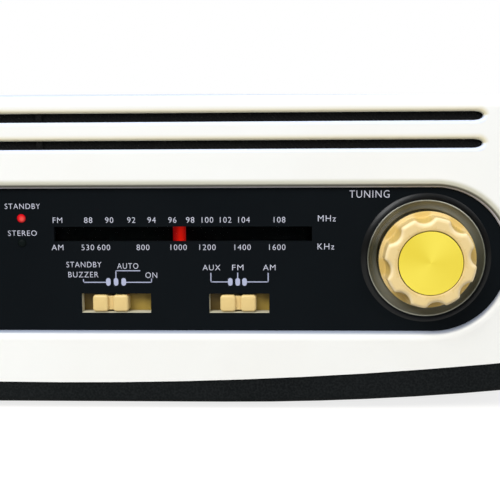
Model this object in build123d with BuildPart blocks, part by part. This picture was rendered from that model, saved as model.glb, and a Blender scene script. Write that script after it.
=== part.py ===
from build123d import *
from math import asin, cos, radians, sin
import os

# A low, wide table radio with a sliding-pointer dial, two round knobs and two slide switches.
# Millimetres. +Z is up, the front faces -Y, and X runs along the width. The origin lies under the
# middle of the whole radio, on the surface that its feet stand on. A depth is counted backwards
# from the flat front face of the white cabinet.

os.makedirs("parts", exist_ok=True)

# Overall sizes
half_width = 175.0
top_height = 110.5
crown_drop = 1.6
body_depth = 125.0
underside_height = 2.0
underside_flat_half = 57.0
underside_radius = 1000.0
upper_corner_radius = 24.0
lower_corner_radius = 20.0

# Shells
wall = 2.5
front_shell_depth = 52.0
front_rim_radius = 4.0
rear_rim_radius = 9.0
case_front_radius = 2.0
case_inset = 0.6
parting_gap = 0.2
border_height = 10.1
border_radius = 1567.0
tongue_length = 3.0
tongue_thickness = 1.2
rear_wall = 4.0

# Sound slots
slot_half_length = 145.0
slot_height = 3.0
slot_end_length = 3.3
slot_rim_gap = 1.4
slot_pitch = 9.3
slot_lip_radius = 1.1
slot_rib_width = 2.0
slot_rib_setback = 1.4
slot_rib_position = -6.0

# Control panel
panel_centre_drop = 3.35
panel_half_length = 154.8
panel_height = 51.0
panel_thickness = 2.0
panel_margin = 4.0
lip_roll = 2.3

# Knobs and their round bezels
knob_position = 126.75
knob_axis_rise = 1.1
bezel_outer_radius = 22.35
bezel_crest_radius = 20.3
bezel_crest = 1.2
bezel_crest_roll = 0.5
bezel_body_radius = 20.0
bezel_well_radius = 17.5
bezel_slope_depth = 2.6
bezel_dish = 0.25
bezel_well_depth = 4.0
bezel_floor = 1.5
knob_skirt_radius = 16.55
knob_skirt_height = 4.8
knob_skirt_thickness = 1.6
knob_skirt_edge = 0.5
knob_neck_radius = 13.8
knob_height = 13.0
knob_grip_radius = 15.4
knob_lobes = 8
notch_radius = 3.6
notch_centre_radius = 16.9
notch_foot_radius = 6.5
notch_foot_centre_radius = 20.9
notch_first_angle = 8.0
lobe_rounding = 1.2
knob_edge_radius = 0.7
knob_bottom_gap = 2.0
knob_wall = 1.8
knob_hub_radius = 6.2
disc_radius = 10.65
disc_gap = 0.2
disc_thickness = 1.0
shaft_radius = 3.0
running_clearance = 0.05
seat_clearance = 0.02
bush_radius = 4.4
nut_radius = 6.0
nut_thickness = 1.2

# Dial
dial_centre = 42.7
dial_rise = 9.5
dial_length = 89.8
dial_opening = 5.25
lens_thickness = 1.0
lens_margin = 2.0
pointer_rest = 41.25
pointer_width = 4.4
pointer_thickness = 1.2
pointer_gap = 0.7
pointer_travel_left = 31.8
pointer_travel_right = 34.5
backplate_gap = 0.8
backplate_thickness = 1.0
rail_radius = 1.2
rail_rise = 20.6
rail_depth = 13.0
rail_bracket_width = 3.0
rail_bracket_gap = 8.0
carriage_length = 10.0

# Cord drive behind the dial
cord_depth = 16.5
cord_size = 0.8
idler_radius = 3.0
idler_width = 3.0
idler_rise = 13.1
idler_left_position = -10.0
idler_right_position = 92.0
idler_pin_radius = 1.0
drum_radius = 21.3
drum_width = 3.0
drum_position = 100.0
drum_drop = 12.9
chassis_depth = 19.0
chassis_thickness = 1.5
chassis_left = -22.0
chassis_right = 137.0
chassis_drop = 30.9
chassis_rise = 29.1
standoff_radius = 2.5
standoff_offsets = ((-16.0, -26.4), (130.0, -24.9), (-16.0, 25.6), (104.0, 25.6))
gang_size = 22.0
gang_thickness = 14.0

# Slide switches
switch_drop = 14.9
switch_opening = 6.9
mode_window_centre = 19.1
mode_window_length = 24.4
mode_cap_centre = 17.1
mode_step = 2.72
source_window_centre = 62.25
source_window_length = 21.0
source_cap_centre = 61.9
source_step = 2.5
cap_length = 12.6
cap_height = 6.0
cap_proud = 0.6
cap_corner_radius = 1.1
cap_edge_radius = 0.7
cap_notch_width = 1.6
cap_notch_depth = 1.4
slider_plate_thickness = 1.0
slider_plate_overlap = 1.2
slider_setback = 1.8
slider_clearance = 0.3
lever_width = 3.0
switch_body_height = 9.0
switch_body_length = 24.0

# Lamps
lamp_position = -13.5
lamp_rises = (15.1, 6.5)
lamp_radius = 1.5
lamp_flange_radius = 1.9
lamp_proud = 0.7
fit_clearance = 0.1

# Clock in the left half
clock_centre = -66.0
clock_rise = 8.1
clock_window_length = 62.0
clock_window_height = 20.0
clock_display_thickness = 4.0
button_positions = (-93.0, -75.0, -57.0, -39.0)
button_drop = 14.8
button_length = 10.0
button_width = 5.0
button_proud = 1.2
button_travel = 0.8
button_flange = 1.2
button_flange_thickness = 0.8
button_rounding = 1.5

# Control board behind the panel
board_depth = 12.0
board_thickness = 1.6
board_left = -105.0
board_step = -6.0
board_right = 76.0
board_drop = 22.9
board_rise = 18.9
board_step_rise = 1.1
board_post_radius = 2.5
board_post_offsets = ((-102.2, -19.4), (-101.0, 16.1), (-24.0, -19.4), (-24.0, 14.6), (41.0, -2.9))

# Volume control
pot_radius = 8.5
pot_thickness = 9.0

# Speakers behind the sound slots
speaker_position = 74.0
speaker_drop = 13.8
speaker_length = 100.0
speaker_width = 20.0
speaker_plate = 1.5
speaker_basket_depth = 12.0
speaker_basket_inset = 4.0
speaker_wall = 1.0
cone_margin = 2.4
cone_thickness = 0.6
cone_dish = 6.0
cone_middle_length = 34.0
cone_middle_width = 7.0
magnet_radius = 9.0
magnet_thickness = 8.0
mesh_thickness = 0.6
mesh_half_length = 152.0
mesh_height = 16.6

# Back
back_panel_inset = 21.0
back_panel_thickness = 2.0
back_ledge = 4.5
back_fit = 0.3
vent_rows = 7
vent_columns = 2
vent_length = 60.0
vent_width = 2.0
vent_pitch = 5.0
vent_centre_height = 64.0
vent_spread = 86.0
screw_radius = 1.5
screw_head_radius = 3.0
screw_head_thickness = 1.4
screw_length = 10.0
screw_post_radius = 3.6
back_screw_columns = (-95.0, 95.0)

# Feet and base screws
foot_radius = 9.0
foot_position = 122.0
foot_front_depth = 30.0
foot_back_depth = 100.0
foot_edge = 1.0
base_screw_position = 60.0
base_screw_depth = 26.0
base_post_radius = 4.0
base_post_top = 21.0
base_web_bottom = 13.0

# Sockets in the back panel
inlet_position = -108.0
socket_height = 38.0
inlet_flange_length = 27.0
inlet_flange_height = 15.0
inlet_flange_thickness = 1.5
inlet_body_length = 20.0
inlet_body_height = 11.4
inlet_body_depth = 16.0
inlet_cavity_length = 16.4
inlet_cavity_height = 8.6
inlet_cavity_depth = 11.0
inlet_pin_radius = 1.2
inlet_pin_pitch = 8.6
inlet_pin_length = 9.0
jack_position = 92.0
jack_bore_radius = 1.8
jack_bore_depth = 14.0
jack_body_radius = 4.0
jack_flange_radius = 5.5
jack_flange_thickness = 1.0
jack_body_depth = 16.0

# Main board, transformer and ferrite rod
main_board_left = -78.0
main_board_right = 118.0
main_board_front_depth = 46.0
main_board_back_depth = 106.0
main_board_height = 14.0
main_post_radius = 3.0
main_post_inset = 6.0
can_places = (
    (-50.0, 90.0, 8.0, 26.0),
    (-28.0, 92.0, 6.3, 20.0),
    (64.0, 94.0, 5.0, 16.0),
    (96.0, 60.0, 5.0, 12.0),
)
chip_places = ((-40.0, 64.0, 20.0, 8.0), (10.0, 66.0, 26.0, 9.0), (50.0, 62.0, 12.0, 8.0))
chip_height = 3.6
transformer_position = -122.0
transformer_depth = 84.0
core_length = 46.0
core_width = 22.0
core_height = 38.0
core_limb = 8.0
core_block = 6.0
coil_width = 34.0
coil_clearance = 0.3
ferrite_radius = 4.9
ferrite_length = 120.0
ferrite_position = 10.0
ferrite_drop = 15.5
ferrite_depth = 78.0
ferrite_coil_radius = 6.6
ferrite_coil_length = 24.0
ferrite_bracket = 4.0
ferrite_bracket_width = 14.0
ferrite_bracket_span = 90.0

# Telescopic aerial on the back
aerial_end_distance = 37.0
aerial_drop = 16.1
aerial_bracket_radius = 5.4
aerial_bracket_thickness = 2.0
aerial_swivel_radius = 5.4
aerial_swivel_base = 1.6
aerial_stand_off = 8.6
aerial_arm_thickness = 2.0
aerial_eye_radius = 3.6
aerial_eye_height = 4.4
aerial_arm_margin = 0.6
aerial_end_gap = 0.3
aerial_pin_radius = 1.2
aerial_gap = 0.15
aerial_length = 210.0
aerial_tube_radius = 3.4
aerial_tube_wall = 0.45
aerial_step_clearance = 0.06
aerial_travel = 180.0
aerial_tip_radius = 3.4
aerial_tip_length = 7.0

# Places worked out from the sizes above
knob_proud = knob_height - wall
rear_proud = aerial_stand_off + aerial_eye_radius + aerial_arm_margin
front_y = -(knob_proud + body_depth + rear_proud) / 2 + knob_proud
back_y = front_y + body_depth
panel_face = wall
panel_back = panel_face + panel_thickness
lens_back = panel_back + lens_thickness
pointer_front = lens_back + pointer_gap
pointer_back = pointer_front + pointer_thickness
backplate_front = pointer_back + backplate_gap
upper_slot_height = top_height - front_rim_radius - slot_rim_gap - slot_lip_radius - slot_height / 2
slot_heights = (upper_slot_height - slot_pitch, upper_slot_height)
panel_centre_height = (top_height + underside_height) / 2 - panel_centre_drop
knob_axis_height = panel_centre_height + knob_axis_rise
dial_height = panel_centre_height + dial_rise
switch_height = panel_centre_height - switch_drop
lamp_heights = tuple(panel_centre_height + rise for rise in lamp_rises)
rail_height = panel_centre_height + rail_rise
idler_height = panel_centre_height + idler_rise
drum_centre_height = panel_centre_height - drum_drop
chassis_bottom = panel_centre_height - chassis_drop
chassis_top = panel_centre_height + chassis_rise
standoff_places = tuple((across, panel_centre_height + rise) for across, rise in standoff_offsets)
clock_height = panel_centre_height + clock_rise
button_height = panel_centre_height - button_drop
board_bottom = panel_centre_height - board_drop
board_top = panel_centre_height + board_rise
board_step_top = panel_centre_height + board_step_rise
board_post_places = tuple((across, panel_centre_height + rise) for across, rise in board_post_offsets)
speaker_height = top_height - speaker_drop
ferrite_height = top_height - ferrite_drop
aerial_position = half_width - aerial_end_distance
aerial_height = top_height - aerial_drop
dial_bottom = dial_height - dial_opening / 2
dial_top = dial_height + dial_opening / 2
slider_front = panel_back + slider_setback
slider_back = slider_front + slider_plate_thickness
bezel_floor_depth = panel_face + bezel_well_depth
bezel_back_depth = bezel_floor_depth + bezel_floor
cord_line = idler_height + idler_radius


def at_depth(depth):
    """The upright plane that lies this far behind the front face, facing the viewer."""
    return Plane(origin=(0, front_y + depth, 0), x_dir=(1, 0, 0), z_dir=(0, -1, 0))


def bore_axis(across, height):
    """A line through a point of the front, from front to back."""
    return Axis((across, front_y, height), (0, 1, 0))


def cabinet_outline(inset=0.0):
    """The radio's outline seen from the front: crowned top, and an underside that rises at its ends."""
    turn = asin((half_width - underside_flat_half) / underside_radius)
    end_height = underside_height + underside_radius * (1 - cos(turn))
    middle_height = underside_height + underside_radius * (1 - cos(turn / 2))
    middle_across = underside_flat_half + underside_radius * sin(turn / 2)
    shoulder = top_height - crown_drop
    with BuildSketch() as outline:
        with BuildLine():
            ThreePointArc((-half_width, shoulder), (0, top_height), (half_width, shoulder))
            Line((half_width, shoulder), (half_width, end_height))
            ThreePointArc(
                (half_width, end_height),
                (middle_across, middle_height),
                (underside_flat_half, underside_height),
            )
            Line((underside_flat_half, underside_height), (-underside_flat_half, underside_height))
            ThreePointArc(
                (-underside_flat_half, underside_height),
                (-middle_across, middle_height),
                (-half_width, end_height),
            )
            Line((-half_width, end_height), (-half_width, shoulder))
        make_face()
        ends = outline.vertices().filter_by(lambda v: abs(v.X) > half_width - 0.01)
        fillet(ends.sort_by(Axis.Y)[-2:], upper_corner_radius)
        ends = outline.vertices().filter_by(lambda v: abs(v.X) > half_width - 0.01)
        fillet(ends.sort_by(Axis.Y)[:2], lower_corner_radius)
        if inset:
            offset(amount=-inset, kind=Kind.INTERSECTION)
    return outline.sketch


def border_region(shift, upwards):
    """The part of the front above or below the line where the white cabinet ends, moved up by shift."""
    reach = half_width + 10
    rise = border_radius - (border_radius**2 - reach**2) ** 0.5
    low = border_height + shift
    far = top_height + 20 if upwards else -20
    with BuildSketch() as region:
        with BuildLine():
            ThreePointArc((-reach, low + rise), (0, low), (reach, low + rise))
            Line((reach, low + rise), (reach, far))
            Line((reach, far), (-reach, far))
            Line((-reach, far), (-reach, low + rise))
        make_face()
    return region.sketch


def underside_at(across):
    """Height of the black case's underside at this distance from the middle."""
    over = max(0.0, abs(across) - underside_flat_half)
    return underside_height + case_inset + underside_radius - (underside_radius**2 - over**2) ** 0.5


def finish(builder, name):
    """Labels a piece and writes it."""
    builder.part.label = name
    export_step(builder.part, f"parts/{name}.step")


back_middle = (top_height + underside_height) / 2
back_screw_reach = back_panel_inset + back_ledge / 2
back_screws = [(side * (half_width - back_screw_reach), back_middle) for side in (-1, 1)]
for back_screw_column in back_screw_columns:
    back_screws.append((back_screw_column, underside_height + back_screw_reach))
    back_screws.append((back_screw_column, top_height - crown_drop / 3 - back_screw_reach))

# White front cabinet: front wall, top and ends
with BuildPart() as front_shell:
    with BuildSketch(at_depth(0)):
        add(cabinet_outline())
    extrude(amount=-front_shell_depth)
    fillet(front_shell.faces().sort_by(Axis.Y)[0].edges(), front_rim_radius)
    with BuildSketch(at_depth(wall)):
        add(cabinet_outline(wall))
    extrude(amount=-front_shell_depth, mode=Mode.SUBTRACT)
    with BuildSketch(at_depth(-1)):
        add(border_region(0, upwards=False))
    extrude(amount=-(front_shell_depth + 2), mode=Mode.SUBTRACT)
    with BuildSketch(at_depth(0)):
        with Locations((0, panel_centre_height)):
            SlotOverall(2 * panel_half_length, panel_height)
    extrude(amount=-wall, mode=Mode.SUBTRACT)
    opening_edges = front_shell.faces().sort_by(Axis.Y)[0].inner_wires()[0].edges()
    fillet(opening_edges, lip_roll)
    for slot_centre in slot_heights:
        with BuildSketch(at_depth(0)):
            with Locations((0, slot_centre)):
                Rectangle(2 * (slot_half_length - slot_end_length), slot_height)
            with Locations(
                (-slot_half_length + slot_end_length, slot_centre),
                (slot_half_length - slot_end_length, slot_centre),
            ):
                Ellipse(slot_end_length, slot_height / 2)
        extrude(amount=-wall, mode=Mode.SUBTRACT)
    front_face = front_shell.faces().sort_by(Axis.Y)[0]
    slot_wires = [w for w in front_face.inner_wires() if w.bounding_box().size.Z < 2 * slot_height]
    fillet([edge for wire in slot_wires for edge in wire.edges()], slot_lip_radius)
    post_bottom = underside_at(base_screw_position) + wall + fit_clearance
    for side in (-1, 1):
        with BuildSketch(at_depth(wall)):
            with Locations((side * base_screw_position, (base_web_bottom + base_post_top) / 2)):
                Rectangle(wall, base_post_top - base_web_bottom)
        extrude(amount=-(base_screw_depth - wall))
        with BuildSketch(Plane.XY.offset(post_bottom)):
            with Locations((side * base_screw_position, front_y + base_screw_depth)):
                Circle(base_post_radius)
        extrude(amount=base_post_top - post_bottom)
        with BuildSketch(Plane.XY.offset(post_bottom)):
            with Locations((side * base_screw_position, front_y + base_screw_depth)):
                Circle(screw_radius)
        extrude(amount=screw_length, mode=Mode.SUBTRACT)
finish(front_shell, "front_shell")

# Black case: tray under the cabinet, and the whole rear half
with BuildPart() as rear_shell:
    with BuildSketch(at_depth(case_inset)):
        add(cabinet_outline(case_inset))
    extrude(amount=-(body_depth - case_inset))
    fillet(rear_shell.faces().sort_by(Axis.Y)[0].edges(), case_front_radius)
    fillet(rear_shell.faces().sort_by(Axis.Y)[-1].edges(), rear_rim_radius)
    with BuildSketch(at_depth(case_inset + wall)):
        add(cabinet_outline(case_inset + wall))
    extrude(amount=-(body_depth - case_inset - wall - rear_wall), mode=Mode.SUBTRACT)
    with BuildSketch(at_depth(-1)):
        add(border_region(-parting_gap, upwards=True))
    extrude(amount=-(front_shell_depth + parting_gap + 1), mode=Mode.SUBTRACT)
    with BuildSketch(at_depth(front_shell_depth - tongue_length)):
        add(cabinet_outline(wall + parting_gap))
        add(cabinet_outline(wall + parting_gap + tongue_thickness), mode=Mode.SUBTRACT)
        add(border_region(wall, upwards=False), mode=Mode.SUBTRACT)
    extrude(amount=-(2 * tongue_length))
    with BuildSketch(at_depth(body_depth)):
        add(cabinet_outline(back_panel_inset))
    extrude(amount=back_panel_thickness, mode=Mode.SUBTRACT)
    with BuildSketch(at_depth(body_depth)):
        add(cabinet_outline(back_panel_inset + back_ledge))
    extrude(amount=rear_wall, mode=Mode.SUBTRACT)
    for main_x in (main_board_left + main_post_inset, main_board_right - main_post_inset):
        for main_y in (main_board_front_depth + main_post_inset, main_board_back_depth - main_post_inset):
            post_foot = underside_at(main_x) + wall / 2
            with BuildSketch(Plane.XY.offset(post_foot)):
                with Locations((main_x, front_y + main_y)):
                    Circle(main_post_radius)
            extrude(amount=main_board_height - post_foot)
    for side in (-1, 1):
        block_across = transformer_position + side * (core_length / 2 - core_block / 2)
        block_foot = underside_at(abs(block_across) + core_block / 2) + wall / 3
        with BuildSketch(Plane.XY.offset(block_foot)):
            with Locations((block_across, front_y + transformer_depth)):
                Rectangle(core_block, core_width)
        extrude(amount=main_board_height - block_foot)
    for side in (-1, 1):
        with BuildSketch(Plane.XY.offset(ferrite_height - ferrite_coil_radius)):
            with Locations((ferrite_position + side * ferrite_bracket_span / 2, front_y + ferrite_depth)):
                Rectangle(ferrite_bracket, ferrite_bracket_width)
        extrude(amount=top_height - case_inset - wall / 2 - ferrite_height + ferrite_coil_radius)
    with BuildSketch(Plane.YZ.offset(ferrite_position - ferrite_bracket_span)):
        with Locations((front_y + ferrite_depth, ferrite_height)):
            Circle(ferrite_radius + seat_clearance)
    extrude(amount=2 * ferrite_bracket_span, mode=Mode.SUBTRACT)
    for side in (-1, 1):
        with BuildSketch(Plane.XY.offset(0)):
            with Locations((side * base_screw_position, front_y + base_screw_depth)):
                Circle(screw_radius + fit_clearance)
        extrude(amount=underside_at(base_screw_position) + wall + 1, mode=Mode.SUBTRACT)
        with BuildSketch(Plane.XY.offset(0)):
            with Locations((side * base_screw_position, front_y + base_screw_depth)):
                Circle(screw_head_radius + fit_clearance)
        extrude(amount=underside_at(base_screw_position) + screw_head_thickness / 2, mode=Mode.SUBTRACT)
    for across, height in back_screws:
        with BuildSketch(at_depth(body_depth - back_panel_thickness)):
            with Locations((across, height)):
                Circle(screw_post_radius)
        extrude(amount=screw_length)
    for across, height in back_screws:
        with BuildSketch(at_depth(body_depth)):
            with Locations((across, height)):
                Circle(screw_radius)
        extrude(amount=back_panel_thickness + screw_length - 1, mode=Mode.SUBTRACT)
finish(rear_shell, "rear_shell")

# Back panel with its vents and the openings for both sockets
with BuildPart() as back_panel:
    with BuildSketch(at_depth(body_depth)):
        add(cabinet_outline(back_panel_inset + back_fit))
        with Locations((-vent_spread / 2, vent_centre_height), (vent_spread / 2, vent_centre_height)):
            with GridLocations(0, vent_pitch, 1, vent_rows):
                SlotOverall(vent_length, vent_width, mode=Mode.SUBTRACT)
        with Locations((inlet_position, socket_height)):
            Rectangle(
                inlet_body_length + 2 * fit_clearance,
                inlet_body_height + 2 * fit_clearance,
                mode=Mode.SUBTRACT,
            )
        with Locations((jack_position, socket_height)):
            Circle(jack_body_radius + fit_clearance, mode=Mode.SUBTRACT)
        with Locations(*back_screws):
            Circle(screw_radius + fit_clearance, mode=Mode.SUBTRACT)
    extrude(amount=back_panel_thickness)
finish(back_panel, "back_panel")

# Six pan-head screws in the back, and two in the base
with BuildPart() as case_screws:
    for across, height in back_screws:
        with BuildSketch(at_depth(body_depth)):
            with Locations((across, height)):
                Circle(screw_radius - seat_clearance)
        extrude(amount=screw_length)
        with BuildSketch(at_depth(body_depth)):
            with Locations((across, height)):
                Circle(screw_head_radius)
        extrude(amount=-screw_head_thickness)
    for side in (-1, 1):
        head_level = underside_at(base_screw_position) + screw_head_thickness / 2
        with BuildSketch(Plane.XY.offset(head_level)):
            with Locations((side * base_screw_position, front_y + base_screw_depth)):
                Circle(screw_radius - seat_clearance)
        extrude(amount=screw_length)
        with BuildSketch(Plane.XY.offset(head_level)):
            with Locations((side * base_screw_position, front_y + base_screw_depth)):
                Circle(screw_head_radius)
        extrude(amount=-screw_head_thickness)
finish(case_screws, "case_screws")

# Four rubber feet, each cut to the curve of the underside
with BuildPart() as feet:
    for side in (-1, 1):
        for depth in (foot_front_depth, foot_back_depth):
            with BuildSketch():
                with Locations((side * foot_position, front_y + depth)):
                    Circle(foot_radius)
            extrude(amount=underside_at(foot_position + foot_radius) + 1)
    chamfer(feet.faces().group_by(Axis.Z)[0].edges(), foot_edge)
    with BuildSketch(at_depth(0)):
        add(cabinet_outline(case_inset))
    extrude(amount=-body_depth, mode=Mode.SUBTRACT)
finish(feet, "feet")

# Dark control panel that fills the opening in the front
with BuildPart() as control_panel:
    with BuildSketch(at_depth(panel_face)):
        with Locations((0, panel_centre_height)):
            SlotOverall(2 * (panel_half_length + panel_margin), panel_height + 2 * panel_margin)
        with Locations((-knob_position, knob_axis_height), (knob_position, knob_axis_height)):
            Circle(bezel_body_radius + fit_clearance, mode=Mode.SUBTRACT)
        with Locations((dial_centre, dial_height)):
            Rectangle(dial_length, dial_opening, mode=Mode.SUBTRACT)
        with Locations((clock_centre, clock_height)):
            Rectangle(clock_window_length, clock_window_height, mode=Mode.SUBTRACT)
        with Locations((mode_window_centre, switch_height)):
            Rectangle(mode_window_length, switch_opening, mode=Mode.SUBTRACT)
        with Locations((source_window_centre, switch_height)):
            Rectangle(source_window_length, switch_opening, mode=Mode.SUBTRACT)
        with Locations(*[(lamp_position, height) for height in lamp_heights]):
            Circle(lamp_radius + seat_clearance, mode=Mode.SUBTRACT)
        with Locations(*[(across, button_height) for across in button_positions]):
            RectangleRounded(
                button_length + 2 * fit_clearance,
                button_width + 2 * fit_clearance,
                button_rounding + fit_clearance,
                mode=Mode.SUBTRACT,
            )
    extrude(amount=-panel_thickness)
    for across, height in board_post_places:
        with BuildSketch(at_depth(panel_back)):
            with Locations((across, height)):
                Circle(board_post_radius)
        extrude(amount=-(board_depth - panel_back))
finish(control_panel, "control_panel")


def make_bezel(name, across):
    """A dished ring round a knob: raised rim, sloping inner wall and a floor with a hole for the bush."""
    bore = bush_radius + seat_clearance
    back = bezel_well_depth + bezel_floor
    crest_side = -bezel_crest + bezel_crest_roll / 4
    crest_inner = (bezel_crest_radius - bezel_crest_roll / 2, crest_side)
    crest_outer = (bezel_crest_radius + bezel_crest_roll / 2, crest_side)
    slope_foot = (bezel_well_radius, bezel_slope_depth)
    slope_middle = (
        (crest_inner[0] + slope_foot[0]) / 2 + bezel_dish,
        (crest_inner[1] + slope_foot[1]) / 2 + bezel_dish,
    )
    with BuildPart() as bezel:
        centre = (across, front_y + panel_face, knob_axis_height)
        with BuildSketch(Plane(origin=centre, x_dir=(1, 0, 0), z_dir=(0, 0, 1))):
            with BuildLine():
                Line((bore, bezel_well_depth), (bezel_well_radius, bezel_well_depth))
                Line((bezel_well_radius, bezel_well_depth), slope_foot)
                ThreePointArc(slope_foot, slope_middle, crest_inner)
                ThreePointArc(crest_inner, (bezel_crest_radius, -bezel_crest), crest_outer)
                Line(crest_outer, (bezel_outer_radius, 0))
                Line((bezel_outer_radius, 0), (bezel_body_radius, 0))
                Line((bezel_body_radius, 0), (bezel_body_radius, back))
                Line((bezel_body_radius, back), (bore, back))
                Line((bore, back), (bore, bezel_well_depth))
            make_face()
        revolve(axis=bore_axis(across, knob_axis_height))
    finish(bezel, name)


make_bezel("tuning_bezel", knob_position)
make_bezel("volume_bezel", -knob_position)


def knob_grip(across, shoulder, face):
    """The scalloped grip: a cylinder with slanting notches, shallow at their foot and deep at the face."""
    with BuildPart() as grip:
        with BuildSketch(at_depth(shoulder)):
            with Locations((across, knob_axis_height)):
                Circle(knob_grip_radius)
        extrude(amount=shoulder - face)
        for count in range(knob_lobes):
            angle = radians(notch_first_angle + 360 / knob_lobes * count)
            foot_x = across + notch_foot_centre_radius * cos(angle)
            foot_z = knob_axis_height + notch_foot_centre_radius * sin(angle)
            with BuildSketch(at_depth(shoulder)):
                with Locations((foot_x, foot_z)):
                    Circle(notch_foot_radius)
            face_x = across + notch_centre_radius * cos(angle)
            face_z = knob_axis_height + notch_centre_radius * sin(angle)
            with BuildSketch(at_depth(face)):
                with Locations((face_x, face_z)):
                    Circle(notch_radius)
            loft(mode=Mode.SUBTRACT)
        fillet(grip.edges().filter_by(lambda e: e.bounding_box().size.Y > 1), lobe_rounding)
        fillet(grip.faces().sort_by(Axis.Y)[0].edges(), knob_edge_radius)
    return grip.part


def make_knob(name, across):
    """A knob: scalloped grip, thin round skirt, narrower neck and a hollow back round its hub."""
    face = panel_face - knob_height
    shoulder = panel_face - knob_skirt_height
    bottom = panel_face + knob_bottom_gap
    with BuildPart() as knob:
        with BuildSketch(at_depth(shoulder + knob_skirt_thickness)):
            with Locations((across, knob_axis_height)):
                Circle(knob_skirt_radius)
        extrude(amount=knob_skirt_thickness)
        fillet(knob.edges().sort_by(Axis.Y)[0], knob_skirt_edge)
        with BuildSketch(at_depth(bottom)):
            with Locations((across, knob_axis_height)):
                Circle(knob_neck_radius)
        extrude(amount=bottom - shoulder - knob_skirt_thickness)
        add(knob_grip(across, shoulder, face))
        with BuildSketch(at_depth(face)):
            with Locations((across, knob_axis_height)):
                Circle(disc_radius + disc_gap)
        extrude(amount=-disc_thickness, mode=Mode.SUBTRACT)
        with BuildSketch(at_depth(bottom)):
            with Locations((across, knob_axis_height)):
                Circle(knob_neck_radius - knob_wall)
                Circle(knob_hub_radius, mode=Mode.SUBTRACT)
        extrude(amount=bottom - shoulder - knob_wall, mode=Mode.SUBTRACT)
        with BuildSketch(at_depth(bottom)):
            with Locations((across, knob_axis_height)):
                Circle(shaft_radius + seat_clearance)
        extrude(amount=bottom - face - disc_thickness - knob_wall, mode=Mode.SUBTRACT)
    finish(knob, name)
    with BuildPart() as disc:
        with BuildSketch(at_depth(face + disc_thickness)):
            with Locations((across, knob_axis_height)):
                Circle(disc_radius)
        extrude(amount=disc_thickness)
    finish(disc, name + "_disc")


make_knob("tuning_knob", knob_position)
make_knob("volume_knob", -knob_position)

shaft_front = panel_face - knob_height + disc_thickness + knob_wall + seat_clearance
shaft_back = chassis_depth + chassis_thickness + 6


def make_shaft(name, across, back):
    """A round control spindle that reaches into the knob's hub."""
    with BuildPart() as shaft:
        with BuildSketch(at_depth(shaft_front)):
            with Locations((across, knob_axis_height)):
                Circle(shaft_radius)
        extrude(amount=-(back - shaft_front))
    finish(shaft, name)


pot_front = bezel_back_depth
make_shaft("tuning_shaft", knob_position, shaft_back)
make_shaft("volume_shaft", -knob_position, pot_front + pot_thickness - knob_wall)


def bush_and_nut(across):
    """Threaded bush through a bezel's floor, with its nut in front."""
    with BuildPart() as bush:
        with BuildSketch(at_depth(bezel_floor_depth - nut_thickness)):
            with Locations((across, knob_axis_height)):
                Circle(bush_radius)
        extrude(amount=-(nut_thickness + bezel_floor))
        with BuildSketch(at_depth(bezel_floor_depth - nut_thickness)):
            with Locations((across, knob_axis_height)):
                RegularPolygon(nut_radius, 6)
        extrude(amount=-nut_thickness)
    return bush.part


# Tuning bushes: one in the bezel's floor, one in the chassis plate behind
with BuildPart() as tuning_bushes:
    add(bush_and_nut(knob_position))
    with BuildSketch(at_depth(chassis_depth - 1)):
        with Locations((knob_position, knob_axis_height)):
            Circle(bush_radius)
    extrude(amount=-(chassis_thickness + 5))
    with BuildSketch(at_depth(0)):
        with Locations((knob_position, knob_axis_height)):
            Circle(shaft_radius + running_clearance)
    extrude(amount=-body_depth / 2, mode=Mode.SUBTRACT)
finish(tuning_bushes, "tuning_bushes")

# Volume control: bush and round can with the shaft's bore
with BuildPart() as volume_pot:
    add(bush_and_nut(-knob_position))
    with BuildSketch(at_depth(pot_front)):
        with Locations((-knob_position, knob_axis_height)):
            Circle(pot_radius)
    extrude(amount=-pot_thickness)
    with BuildSketch(at_depth(0)):
        with Locations((-knob_position, knob_axis_height)):
            Circle(shaft_radius + running_clearance)
    extrude(amount=-(pot_front + pot_thickness - knob_wall + fit_clearance), mode=Mode.SUBTRACT)
finish(volume_pot, "volume_pot")

# Clear lens glued behind the dial opening, with a step that fills it
with BuildPart() as dial_lens:
    with BuildSketch(at_depth(panel_back)):
        with Locations((dial_centre, dial_height)):
            Rectangle(dial_length + 2 * lens_margin, dial_opening + 2 * lens_margin)
    extrude(amount=-lens_thickness)
finish(dial_lens, "dial_lens")

# Black plate behind the pointer, held between two ends that reach the panel
with BuildPart() as dial_backplate:
    backplate_length = dial_length + 2 * lens_margin + 4
    with BuildSketch(at_depth(backplate_front)):
        with Locations((dial_centre, dial_height)):
            Rectangle(backplate_length, dial_opening + 6)
    extrude(amount=-backplate_thickness)
    for side in (-1, 1):
        with BuildSketch(at_depth(panel_back)):
            with Locations((dial_centre + side * (backplate_length / 2 - 0.6), dial_height)):
                Rectangle(1.2, dial_opening + 6)
        extrude(amount=-(backplate_front - panel_back))
finish(dial_backplate, "dial_backplate")

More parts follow.
